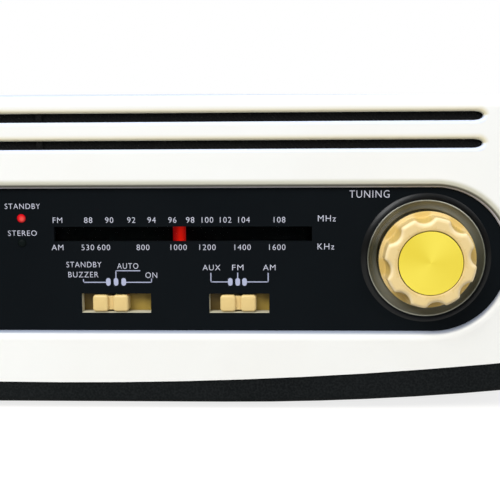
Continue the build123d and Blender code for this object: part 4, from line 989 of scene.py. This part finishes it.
@dataclass
class PanelPrint:
    """The legends, hook lines and dots printed on the control panel."""

    y: float = PANEL - 0.03
    line: float = 0.34
    digit: float = 2.1
    rows: tuple[tuple[float, tuple[tuple[str, float], ...]], ...] = (
        (67.4, (
            ("FM", -0.8), ("88", 9.95), ("90", 17.3), ("92", 25.0), ("94", 32.1), ("96", 39.3), ("98", 45.5),
            ("100", 51.5), ("102", 57.8), ("104", 64.15), ("108", 76.4),
        )),
        (57.85, (
            ("AM", -1.1), ("530", 9.55), ("600", 15.15), ("800", 28.9), ("1000", 41.35), ("1200", 51.4),
            ("1400", 63.6), ("1600", 75.6),
        )),
    )
    words: tuple[Legend, ...] = (
        Legend("MHz", 92.7, 67.85, 2.3), Legend("KHz", 92.4, 58.1, 2.3),
        Legend("TUNING", 107.2, 76.2, 2.7, 13.65), Legend("STANDBY", -12.95, 72.3, 2.0, 12.4),
        Legend("STEREO", -13.3, 62.9, 2.0, 10.1), Legend("STANDBY", 8.0, 51.8, 2.1, 12.3),
        Legend("BUZZER", 7.7, 48.25, 2.1, 10.6), Legend("AUTO", 23.4, 51.3, 2.1, 7.4),
        Legend("ON", 31.6, 48.05, 2.1, 4.1), Legend("AUX", 52.7, 50.75, 2.1, 6.2),
        Legend("FM", 61.85, 50.75, 2.1, 3.9), Legend("AM", 72.8, 50.75, 2.1, 4.3),
        Legend("VOLUME", -107.2, 76.2, 2.7, 13.65), Legend("ALARM", -93.0, 43.6, 2.0),
        Legend("HOUR", -75.0, 43.6, 2.0), Legend("MIN", -57.0, 43.6, 2.0), Legend("SNOOZE", -39.0, 43.6, 2.0),
    )
    pill_size: Pair = (1.6, 2.75)
    pills: tuple[float, ...] = (16.45, 19.15, 21.85, 59.2, 61.8, 64.15)
    pill_height: float = 45.6
    pill_raise: float = 0.01
    hooks: tuple[tuple[Pair, ...], ...] = (
        ((7.7, 46.4), (7.7, 45.45), (15.8, 45.45)),
        ((19.17, 46.6), (19.17, 49.55), (27.6, 49.55)),
        ((22.5, 45.45), (31.65, 45.45), (31.65, 46.6)),
        ((52.45, 48.6), (52.45, 45.6), (58.6, 45.6)),
        ((61.8, 48.7), (61.8, 46.6)),
        ((64.7, 45.6), (72.4, 45.6), (72.4, 48.6)),
    )

    def build(self) -> None:
        """Prints everything on the panel."""
        scales = [Legend(text, x, height, self.digit) for height, marks in self.rows for text, x in marks]
        letters = [lettering(legend, self.y) for legend in (*scales, *self.words)]
        piece("panel_legends", joined(letters), Look.ink.material, "radio")
        marks = [strip(points, self.line, self.y) for points in self.hooks]
        marks += [pill(x, self.pill_height, *self.pill_size, self.y - self.pill_raise) for x in self.pills]
        piece("panel_marks", joined(marks), Look.mark_ink.material, "radio")


# The radio's parts


@dataclass
class Knob:
    """A scalloped knob: slanting notches, rolled face edge, thin round skirt and a narrower neck.

    At height h above the panel the grip's outline is where a smooth maximum of (radius - tip) and
    (notch radius - distance to the notch's middle) is nought. The notch's two values are those at the
    shoulder and at the face.
    """

    name: str
    body: str
    across: float
    height: float = KNOB_HEIGHT
    face: float = 13.0
    shoulder: float = 4.8
    tip: float = 15.4
    lobes: int = 8
    first_notch: float = 8.0
    notch: Pair = (6.5, 3.6)
    notch_middle: Pair = (20.9, 16.9)
    roll: float = 1.5
    softness: float = 0.55
    recess: float = 10.95
    recess_depth: float = 1.0
    bevel: float = 0.12
    skirt: float = 16.55
    skirt_thickness: float = 1.6
    skirt_roll: float = 0.45
    neck: float = 13.8
    neck_depth: float = 2.0
    # Where the painted shade in the notches starts, and how fast it fades in.
    hollow_start: Pair = (0.25, 0.9)
    hollow_fade: float = 1.2
    # Place, reach and strength of the painted highlight on the rolled face edge.
    crest_middle: float = 0.55
    crest_reach: float = 0.75
    crest_share: float = 0.75
    crest_inner: float = 1.0
    steps: int = 576

    @cached_property
    def angles(self) -> np.ndarray:
        """The angle of every column, anticlockwise as seen from the front, from +X."""
        return np.arange(self.steps) * 2 * np.pi / self.steps

    def outline(self, level: float, inset: float) -> np.ndarray:
        """Radius of the grip at every angle, found by halving the interval from 9 mm to past the tip.

        Args:
            level: height above the panel.
            inset: how far the outline is drawn in.

        Returns:
            One radius for each angle.
        """
        part = np.clip((level - self.shoulder) / (self.face - self.shoulder), 0.0, 1.0)
        radius = self.notch[0] + (self.notch[1] - self.notch[0]) * part + inset
        middle = self.notch_middle[0] + (self.notch_middle[1] - self.notch_middle[0]) * part
        pitch = 2 * np.pi / self.lobes
        turn = (self.angles - math.radians(self.first_notch) + pitch / 2) % pitch - pitch / 2
        low, high = np.full(self.steps, 9.0), np.full(self.steps, self.tip + 0.5)
        for _ in range(30):
            r = (low + high) / 2
            outside = r - (self.tip - inset)
            cut = radius - np.sqrt(r * r + middle * middle - 2 * r * middle * np.cos(turn))
            gap = np.maximum(self.softness - np.abs(outside - cut), 0.0) / self.softness
            beyond = np.maximum(outside, cut) + gap * gap * self.softness / 4 > 0
            low, high = np.where(beyond, low, r), np.where(beyond, r, high)
        return (low + high) / 2

    def sections(self) -> tuple[np.ndarray, np.ndarray]:
        """Rows from the recess over the face, down the grip, round the skirt and along the neck.

        Returns:
            The radius at every row and angle, and every row's height above the panel.
        """
        inner = self.recess + self.bevel
        rows = [(self.recess, self.face - self.recess_depth), (self.recess, self.face - self.bevel)]
        rows.append((inner, self.face))
        top = self.outline(self.face, self.roll)
        rows += [(inner + (top - inner) * k, self.face) for k in (0.33, 0.66)]
        for turn in np.linspace(0, QUARTER, 10):
            level = self.face - self.roll * (1 - math.cos(turn))
            rows.append((self.outline(level, self.roll * (1 - math.sin(turn))), level))
        for level in np.linspace(self.face - self.roll, self.shoulder + 0.4, 8)[1:]:
            rows.append((self.outline(level, 0.0), level))
        foot = self.outline(self.shoulder, 0.0)
        rows.append((foot + self.bevel, self.shoulder + self.bevel))
        rows.append((np.minimum(foot + 0.4, self.skirt - 0.5), self.shoulder))
        for turn in np.linspace(0, QUARTER, 6):
            drop = self.skirt_roll * (1 - math.cos(turn))
            rows.append((self.skirt - self.skirt_roll * (1 - math.sin(turn)), self.shoulder - drop))
        under = self.shoulder - self.skirt_thickness
        rows += [(self.skirt, under + 0.1), (self.skirt - 0.1, under), (self.neck, under)]
        rows.append((self.neck, -self.neck_depth))
        radius = np.stack([np.broadcast_to(row[0], self.steps) for row in rows])
        return radius, np.array([row[1] for row in rows])[:, None]

    def build(self) -> None:
        """Makes the knob and hides its CAD node.

        The mark of painted shade grows with the notches' cut and with the depth below the face, each from its
        own start. The crest mark, a painted highlight, peaks on the rolled edge and is nought beyond its
        reach and near the recess.
        """
        radius, level = self.sections()
        x = self.across + radius * np.cos(self.angles)
        z = self.height + radius * np.sin(self.angles)
        points = np.stack([x, np.broadcast_to(PANEL - level, x.shape), z], -1)
        made = piece(self.name + "_body", grid(points), Look.carved.material, self.body)
        grip = self.outline(self.face, 0.0)
        cut = np.clip((self.tip - self.hollow_start[0] - grip) / self.hollow_fade, 0.0, 1.0)
        sunk = np.clip((self.face - self.hollow_start[1] - level) / self.hollow_fade, 0.0, 1.0)
        off = np.abs(level - self.face + self.crest_middle) / self.crest_reach
        crest = np.clip(1 - off, 0.0, 1.0) * self.crest_share * (radius > self.recess + self.crest_inner)
        # Painted shade in the notches and a painted highlight on the rolled edge, for the material to read.
        mark(made, "hollow_shade", np.broadcast_to(sunk * cut, x.shape))
        mark(made, "crest", np.broadcast_to(crest, x.shape))
        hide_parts(self.name)


@dataclass
class Disc:
    """The spun metal disc let into a knob's face."""

    node: str
    across: float
    height: float = KNOB_HEIGHT

    def build(self) -> None:
        """Dresses the disc, its sheen a painted sweep between two yellows."""
        centre = (self.across, PANEL, self.height)
        finish = SpunMetal(
            "disc_" + self.node, (246, 226, 84), (232, 209, 64), 0.45, 0.3, centre=centre, metallic=0.1
        )
        dress(self.node, finish.material)
        LOG.info("dressed %s", self.node)


@dataclass
class Bezel:
    """The dark satin ring round a knob: outer slope, rounded crest and a shallow dish down to the well."""

    node: str
    across: float
    height: float = KNOB_HEIGHT
    outer: float = 22.35
    crest: float = 19.95
    crest_height: float = 1.2
    roll: float = 0.4
    foot: float = 17.1
    foot_depth: float = 1.0
    sag: Pair = (0.14, 0.35)
    bore: float = 4.6
    well: float = 4.0
    well_wall: float = 0.6
    foot_bevel: Pair = (0.25, 0.2)

    def profile(self) -> np.ndarray:
        """(radius, y) rows from the middle outwards, the crest a half circle and the dish a shallow curve."""
        turn = np.linspace(np.pi, 0.0, 9)
        crest_y = -self.crest_height + self.roll * (1 - np.sin(turn))
        crest = np.stack([self.crest + self.roll * np.cos(turn), crest_y], -1)
        part = np.linspace(0.0, 1.0, 9)[:, None]
        foot, top = np.array([self.foot, self.foot_depth]), crest[0]
        dish = foot + (top - foot) * part + np.sin(np.pi * part) * np.array(self.sag)
        edge = [self.foot - self.foot_bevel[0], self.foot_depth + self.foot_bevel[1]]
        inner = np.array([[self.bore, self.well], [self.foot - self.well_wall, self.well], edge])
        return np.concatenate([inner, dish[:-1], crest, [[self.outer, 0.0]]])

    def build(self) -> None:
        """Makes the ring and hides its CAD node."""
        centre = (self.across, PANEL, self.height)
        # Its sweep of sheen and its glint towards the upper left are painted highlight; its outer zone is
        # near black.
        finish = SpunMetal(
            "ring_" + self.node, (172, 172, 158), (92, 96, 82), 0.28, centre=centre, metallic=0.55,
            zone=self.crest + 0.1, outer=(10, 11, 11), glint=0.7,
        )
        rows = self.profile() + np.array([0.0, PANEL])
        made = piece(self.node + "_ring", turned(rows, self.across, self.height), finish.material, "radio")
        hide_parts(self.node)


@dataclass
class LowerLip:
    """The fuller roll of the panel opening's lower edge.

    At a point of the opening's outline the lip reaches further in by e = most * s, where s eases from nought
    at mid-height to one along the bottom. Its section is a quarter ellipse of half axes roll + e and roll.
    It lies proud of the cabinet by a hair, so that the two never share a face.
    """

    roll: float = 2.3
    most: float = 0.95
    overlap: float = 0.02
    proud: float = 0.01
    steps: int = 96
    rows: int = 14

    def build(self) -> None:
        """Makes the lip from mid-height on the right, along the bottom, to mid-height on the left."""
        turn = np.linspace(0.0, -np.pi, self.steps)
        along = np.sin(turn)
        straight = OPENING_HALF_LENGTH - OPENING_HALF_HEIGHT
        side = np.where(turn > -QUARTER, 1.0, -1.0)
        down = np.clip(-along, 0.0, 1.0)
        reach = (self.most * down * down * (3 - 2 * down))[None, :] + self.overlap
        part = np.linspace(0.0, QUARTER, self.rows)[:, None]
        radius = OPENING_HALF_HEIGHT + self.roll - (self.roll + reach) * np.sin(part)
        x = side * straight + radius * np.cos(turn)
        y = FRONT + self.roll * (1 - np.cos(part)) - self.proud
        z = OPENING_CENTRE + radius * along
        points = np.stack([x, np.broadcast_to(y, x.shape), z], -1)
        piece("lower_lip", grid(points, closed=False, flip=False), Look.cabinet.material, "radio")


@dataclass
class SwitchButton:
    """A slide switch's button: two rounded lobes with a groove between them, on a flat plate.

    The painted shade runs between two X values of the plate, and the window has pale strips on its bottom and
    left walls as a painted highlight.
    """

    node: str
    body: str
    across: float
    shade: Pair
    opening: Pair
    lobe: Pair = (5.5, 6.0)
    opening_height: float = 6.9
    liner: float = 0.34
    liner_depths: Pair = (0.15, 3.6)
    liner_edge: float = 0.1
    groove: float = 1.6
    corner: float = 1.25
    edge: float = 0.9
    dome: float = 0.12
    proud: float = 0.6
    depth: float = 3.9
    floor_margins: Pair = (2.4, -1.0)
    floor_depth: float = 1.4
    small_edge: float = 0.3
    plate_thickness: float = 1.0

    def build(self) -> None:
        """Makes the lobes with the groove's floor, and the plate, which both replace the CAD node."""
        front, back = PANEL - self.proud, PANEL + self.depth
        side = (self.lobe[0] + self.groove) / 2
        middles = [(self.across + offset, SWITCH_HEIGHT) for offset in (-side, side)]
        lobes = [slab(m, self.lobe, self.corner, self.edge, (front, back), self.dome) for m in middles]
        size = (self.groove + self.floor_margins[0], self.lobe[1] + self.floor_margins[1])
        depths = (front + self.floor_depth, back)
        floor = slab((self.across, SWITCH_HEIGHT), size, self.small_edge, self.small_edge, depths)
        skin = piece(self.node + "_lobes", joined([*lobes, floor]), Look.cream.material, self.body)
        plate_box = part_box(self.node)
        left, right = plate_box[0].x / MM, plate_box[1].x / MM
        low, high = plate_box[0].z / MM, plate_box[1].z / MM
        middle = ((left + right) / 2, (low + high) / 2)
        depths = (back, back + self.plate_thickness)
        plate = slab(middle, (right - left, high - low), self.small_edge, self.liner_edge, depths)
        # The plate's dark olive colours are painted shade: the cream plate as it lies in the window's shadow.
        shade = ShadedPlate("plate_" + self.node, (84, 66, 4), (158, 132, 50), 0.5, ends=self.shade)
        backing = piece(self.node + "_plate", plate, shade.material, self.body)
        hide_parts(self.node)
        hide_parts(self.node)
        self.line_window()

    def line_window(self) -> None:
        """Makes the pale strips on the window's bottom and left walls, a painted highlight."""
        left, right = self.opening
        low, high = SWITCH_HEIGHT - self.opening_height / 2, SWITCH_HEIGHT + self.opening_height / 2
        lit_sill = (((left + right) / 2, low + self.liner / 2), (right - left, self.liner))
        jamb = ((left + self.liner / 4, (low + high) / 2), (self.liner / 2, high - low))
        depths = (PANEL + self.liner_depths[0], PANEL + self.liner_depths[1])
        lining = [slab(*place, self.liner_edge, self.liner_edge, depths) for place in (lit_sill, jamb)]
        piece(self.node + "_sill", joined(lining), Look.lit_sill.material, "radio")


@dataclass
class Lamps:
    """The two 3 mm lamps beside the dial."""

    across: float = -13.5
    lit: float = 68.0
    dark: float = 59.4

    def build(self) -> None:
        """Dresses both lamps, the red one brightest a little right of and below its middle."""
        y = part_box("standby_lamp")[0].y / MM
        red = Glow(
            "lamp_red", (176, 3, 14), (160, 4, 14), 0.5, light=0.45,
            centre=(self.across + 0.35, y, self.lit - 0.2), core=(255, 120, 108), radius=1.2,
        )
        green = Glow(
            "lamp_green", (3, 10, 9), (4, 14, 12), 0.6, centre=(self.across, y, self.dark), core=(5, 17, 15)
        )
        dress("standby_lamp", red.material)
        dress("stereo_lamp", green.material)
        LOG.info("dressed both lamps")


@dataclass
class Pointer:
    """The dial's red pointer, with a painted glow."""

    bright: float = 41.7
    half_width: float = 2.2

    def build(self) -> None:
        """Dresses the pointer with a painted glow, brightest just right of its middle."""
        finish = PaintedGlowBlade(
            "pointer_red", (150, 1, 0), (132, 0, 0), 0.5, middle=self.bright, reach=self.half_width,
            core=(214, 18, 2), light=0.42,
        )
        dress("dial_pointer", finish.material)
        LOG.info("dressed the pointer")


@dataclass
class Screws:
    """The pan-head screws of the back and the base, with cross recesses.

    The head's height over its rim at (u, v) is a shallow dome, less a cross-shaped recess that fades out
    towards the ends of its arms.
    """

    radius: float = 3.0
    thickness: float = 1.4
    arm: float = 0.45
    reach: float = 1.7
    recess: float = 0.9
    recess_fade: Pair = (0.2, 0.5)
    back_middle: float = 56.25
    lower_drop: float = 0.53
    column: float = 95.0
    base_across: float = 60.0
    base_depth: float = 26.0
    steps: int = 64
    rings: int = 22

    def head(self) -> tuple[np.ndarray, np.ndarray, np.ndarray]:
        """One head as (u, v, height) grids, in its own plane."""
        part = np.linspace(0.0, 1.0, self.rings)[:, None]
        angle = np.arange(self.steps)[None, :] * 2 * np.pi / self.steps
        u, v = self.radius * part * np.cos(angle), self.radius * part * np.sin(angle)
        dome = self.thickness * np.sqrt(np.clip(1 - part ** 4, 0, 1)) * np.ones_like(angle)
        narrow, wide = np.minimum(np.abs(u), np.abs(v)), np.maximum(np.abs(u), np.abs(v))
        across = np.clip((self.arm - narrow) / self.recess_fade[0], 0, 1)
        along = np.clip((self.reach - wide) / self.recess_fade[1], 0, 1)
        return u, v, dome - self.recess * across * along

    def back_places(self) -> list[Pair]:
        """(X, Z) of the six screws in the back: one at each end and four in two columns."""
        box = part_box("case_screws")
        left, right = box[0].x / MM + self.radius, box[1].x / MM - self.radius
        top = box[1].z / MM - self.radius
        bottom = 2 * self.back_middle - top - self.lower_drop
        columns = [(x, z) for x in (-self.column, self.column) for z in (bottom, top)]
        return [(left, self.back_middle), (right, self.back_middle), *columns]

    def build(self) -> None:
        """Makes every head where the CAD node's screws are."""
        u, v, h = self.head()
        places = [np.stack([across + u, BACK + h, height + v], -1) for across, height in self.back_places()]
        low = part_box("case_screws")[0].z / MM
        for across in (-self.base_across, self.base_across):
            places.append(np.stack([across + u, FRONT + self.base_depth + v, low + self.thickness - h], -1))
        heads = [grid(points, flip=False) for points in places]
        made = piece("screw_heads", joined(heads), Look.screw.material, "radio")
        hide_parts("case_screws")


DIGIT_BARS = {"0": "abcdef", "1": "bc", "2": "abged", "5": "afgcd"}


@dataclass
class ClockFace:
    """Seven-bar digits behind the clock window, showing a plain time."""

    text: str = "10:25"
    centre: Pair = (-66.0, 61.0)
    size: Pair = (7.0, 12.0)
    bar: float = 1.3
    bar_gap: float = 0.62
    pitch: float = 10.5
    lean: float = 0.1
    dot: Pair = (1.5, 1.51)
    dot_rise: float = 2.6

    @property
    def y(self) -> float:
        """Depth of the digits, just in front of the display."""
        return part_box("clock_display")[0].y / MM - 0.02

    def digit(self, character: str, left: float) -> list[Surface]:
        """One digit's bars, each a flat strip along one side of a figure of eight."""
        w, h = self.size[0] / 2, self.size[1] / 2
        ends = {
            "a": ((-w, h), (w, h)), "b": ((w, h), (w, 0)), "c": ((w, 0), (w, -h)), "d": ((-w, -h), (w, -h)),
            "e": ((-w, 0), (-w, -h)), "f": ((-w, h), (-w, 0)), "g": ((-w, 0), (w, 0)),
        }
        made = []
        for key in DIGIT_BARS[character]:
            a, b = (np.array(end) for end in ends[key])
            gap = (b - a) / np.linalg.norm(b - a) * self.bar * self.bar_gap
            place = np.array([left, self.centre[1]])
            line = [point + place + np.array([self.lean * point[1], 0.0]) for point in (a + gap, b - gap)]
            made.append(strip(line, self.bar, self.y))
        return made

    def build(self) -> None:
        """Makes the digits and the two dots."""
        shapes: list[Surface] = []
        for place, character in enumerate(self.text):
            left = self.centre[0] + (place - (len(self.text) - 1) / 2) * self.pitch
            if character == ":":
                rises = (-self.dot_rise, self.dot_rise)
                shapes += [pill(left, self.centre[1] + rise, *self.dot, self.y) for rise in rises]
            else:
                shapes += self.digit(character, left)
        piece("clock_digits", joined(shapes), Look.digits.material, "radio")


# Studio


def unit(vector: np.ndarray) -> np.ndarray:
    """The same direction, one long."""
    return vector / np.linalg.norm(vector)


def stand(name: str, data: bpy.types.ID, axes: Sequence[np.ndarray], place: Point) -> bpy.types.Object:
    """Puts a camera or a light in the scene.

    Args:
        name: its name.
        data: the camera or the light.
        axes: directions of its own X, Y and Z; it looks along -Z.
        place: where it stands.

    Returns:
        The new object.
    """
    matrix = np.eye(4)
    matrix[:3, :3] = np.stack(axes, -1)
    matrix[:3, 3] = np.array(place) * MM
    made = bpy.data.objects.new(name, data)
    made.matrix_world = Matrix(matrix.tolist())
    bpy.context.collection.objects.link(made)
    return made


@dataclass(frozen=True)
class SoftLight:
    """One soft rectangular light: where it stands, what it faces, its width and height, and its watts."""

    name: str
    place: Point
    target: Point
    size: Pair
    watts: float

    def build(self) -> None:
        """Adds the light."""
        data = bpy.data.lights.new(self.name, "AREA")
        data.shape = "RECTANGLE"
        data.size, data.size_y = self.size[0] * MM, self.size[1] * MM
        data.energy = self.watts
        away = unit(np.array(self.place) - np.array(self.target))
        side = unit(np.cross([0.0, 0.0, 1.0], away))
        stand(self.name, data, (side, np.cross(away, side), away), self.place)


@dataclass
class Studio:
    """Pale floor, soft lights and the camera at the photograph's place."""

    eye: Point = (80.0, -342.0, 104.0)
    left_turn: float = 2.32
    down: float = 7.85
    roll: float = -0.38
    focal_pixels: float = 997.0
    frame_pixels: float = 500.0
    paper: Colour = (150, 148, 143)
    paper_drift: int = 4
    paper_glow: float = 0.8
    room_low: tuple[float, ...] = (0.16, 0.14, 0.115, 1.0)
    room_high: tuple[float, ...] = (0.62, 0.66, 0.72, 1.0)
    room_behind: tuple[float, ...] = (0.08, 0.08, 0.085, 1.0)
    ceiling: Pair = (-0.15, 0.75)
    behind: Pair = (-0.2, -0.9)
    behind_top: Pair = (0.6, 0.1)
    far_side: Pair = (-0.1, 0.1)
    lights: tuple[SoftLight, ...] = (
        SoftLight("key", (-350.0, -800.0, 760.0), (40.0, 0.0, 50.0), (700.0, 500.0), 11.0),
        SoftLight("fill", (650.0, -900.0, 420.0), (60.0, 0.0, 50.0), (500.0, 500.0), 3.0),
    )

    def camera(self) -> None:
        """Places the camera.

        Its forward line is turned left from +Y by left_turn and down by down; its right and up lines are
        then turned about that line by roll.
        """
        yaw, pitch, roll = (math.radians(a) for a in (self.left_turn, self.down, self.roll))
        flat = math.cos(pitch)
        forward = np.array([-math.sin(yaw) * flat, math.cos(yaw) * flat, -math.sin(pitch)])
        right = unit(np.cross(forward, [0.0, 0.0, 1.0]))
        up = np.cross(right, forward)
        right, up = right * math.cos(roll) + up * math.sin(roll), up * math.cos(roll) - right * math.sin(roll)
        data = bpy.data.cameras.new("camera")
        data.sensor_fit = "HORIZONTAL"
        data.angle = 2 * math.atan(self.frame_pixels / 2 / self.focal_pixels)
        data.clip_start = 0.01
        place = (self.eye[0], self.eye[1] + PANEL, self.eye[2])
        bpy.context.scene.camera = stand("camera", data, (right, up, -forward), place)

    def rays(self, w: Wiring) -> tuple[Socket, Socket]:
        """One for camera rays, and one for the rays that a glossy or a clear surface sends on."""
        given = w.add("ShaderNodeLightPath").outputs
        return given["Is Camera Ray"], w.math("MAXIMUM", given["Is Glossy Ray"], given["Is Transmission Ray"])

    def floor(self) -> None:
        """Lays a sheet of pale paper, white where it is seen, with the object's shadow on it."""
        corners = np.array([[-3000, -270, 0], [3000, -270, 0], [3000, 6000, 0], [-3000, 6000, 0]])
        mesh = bpy.data.meshes.new("floor")
        mesh.from_pydata((corners * MM).tolist(), [], [(0, 1, 2, 3)])
        made = bpy.data.objects.new("floor", mesh)
        bpy.context.collection.objects.link(made)
        material = bpy.data.materials.new("floor_paper")
        material.use_nodes = True
        w = Wiring(material.node_tree)
        fibre = w.noise(w.add("ShaderNodeTexCoord").outputs["Object"], 400.0, 3.0)
        darker = tuple(c - self.paper_drift for c in self.paper)
        w.fill(
            material.node_tree.nodes["Principled BSDF"],
            Base_Color=w.mix(fibre, linear(self.paper), linear(darker)),
            Roughness=0.95,
            Specular_IOR_Level=0.0,
            Emission_Color=w.mix(w.math("MAXIMUM", *self.rays(w)), UNLIT, WHITE),
            Emission_Strength=self.paper_glow,
        )
        made.data.materials.append(material)

    def world(self) -> None:
        """White where the camera looks, and a room round the object that lights it.

        The room has a pale ceiling and a dim, warm lower part. Glossy and transmission rays see white on the
        far side of the object and the room on the camera's side.
        """
        world = bpy.data.worlds.new("studio")
        world.use_nodes = True
        bpy.context.scene.world = world
        w = Wiring(world.node_tree)
        camera, mirrored = self.rays(w)
        _, y, z = w.axes(w.add("ShaderNodeTexCoord").outputs["Generated"])
        room = w.mix(w.ramp(z, *self.ceiling), self.room_low, self.room_high)
        room = w.mix(w.times(w.ramp(y, *self.behind), w.ramp(z, *self.behind_top)), room, self.room_behind)
        white = w.math("MAXIMUM", camera, w.times(mirrored, w.ramp(y, *self.far_side)))
        w.fill(world.node_tree.nodes["Background"], Color=w.mix(white, room, WHITE), Strength=1.0)

    def build(self) -> None:
        """Makes the camera, the floor, the world and the lights."""
        self.camera()
        self.floor()
        self.world()
        for light in self.lights:
            light.build()
        bpy.context.scene.view_settings.view_transform = "Standard"
        LOG.info("set up the studio")


def main() -> None:
    """Builds the radio's looks in order."""
    Studio().build()
    for finish, nodes in NODE_FINISHES:
        for node in nodes.split():
            dress(node, finish.material)
    sides = (("tuning", KNOB_ACROSS), ("volume", -KNOB_ACROSS))
    for body, across in sides:
        Knob(body + "_knob", body, across).build()
        Disc(body + "_knob_disc", across).build()
    for body, across in sides:
        Bezel(body + "_bezel", across).build()
    SwitchButton("mode_switch_cap", "mode_button", 17.1, (14.0, 31.5), (6.9, 31.3)).build()
    SwitchButton("source_switch_cap", "source_button", 61.9, (59.0, 73.0), (51.75, 72.75)).build()
    Lamps().build()
    Pointer().build()
    LowerLip().build()
    PanelPrint().build()
    ClockFace().build()
    Screws().build()


if __name__ == "__main__":
    main()
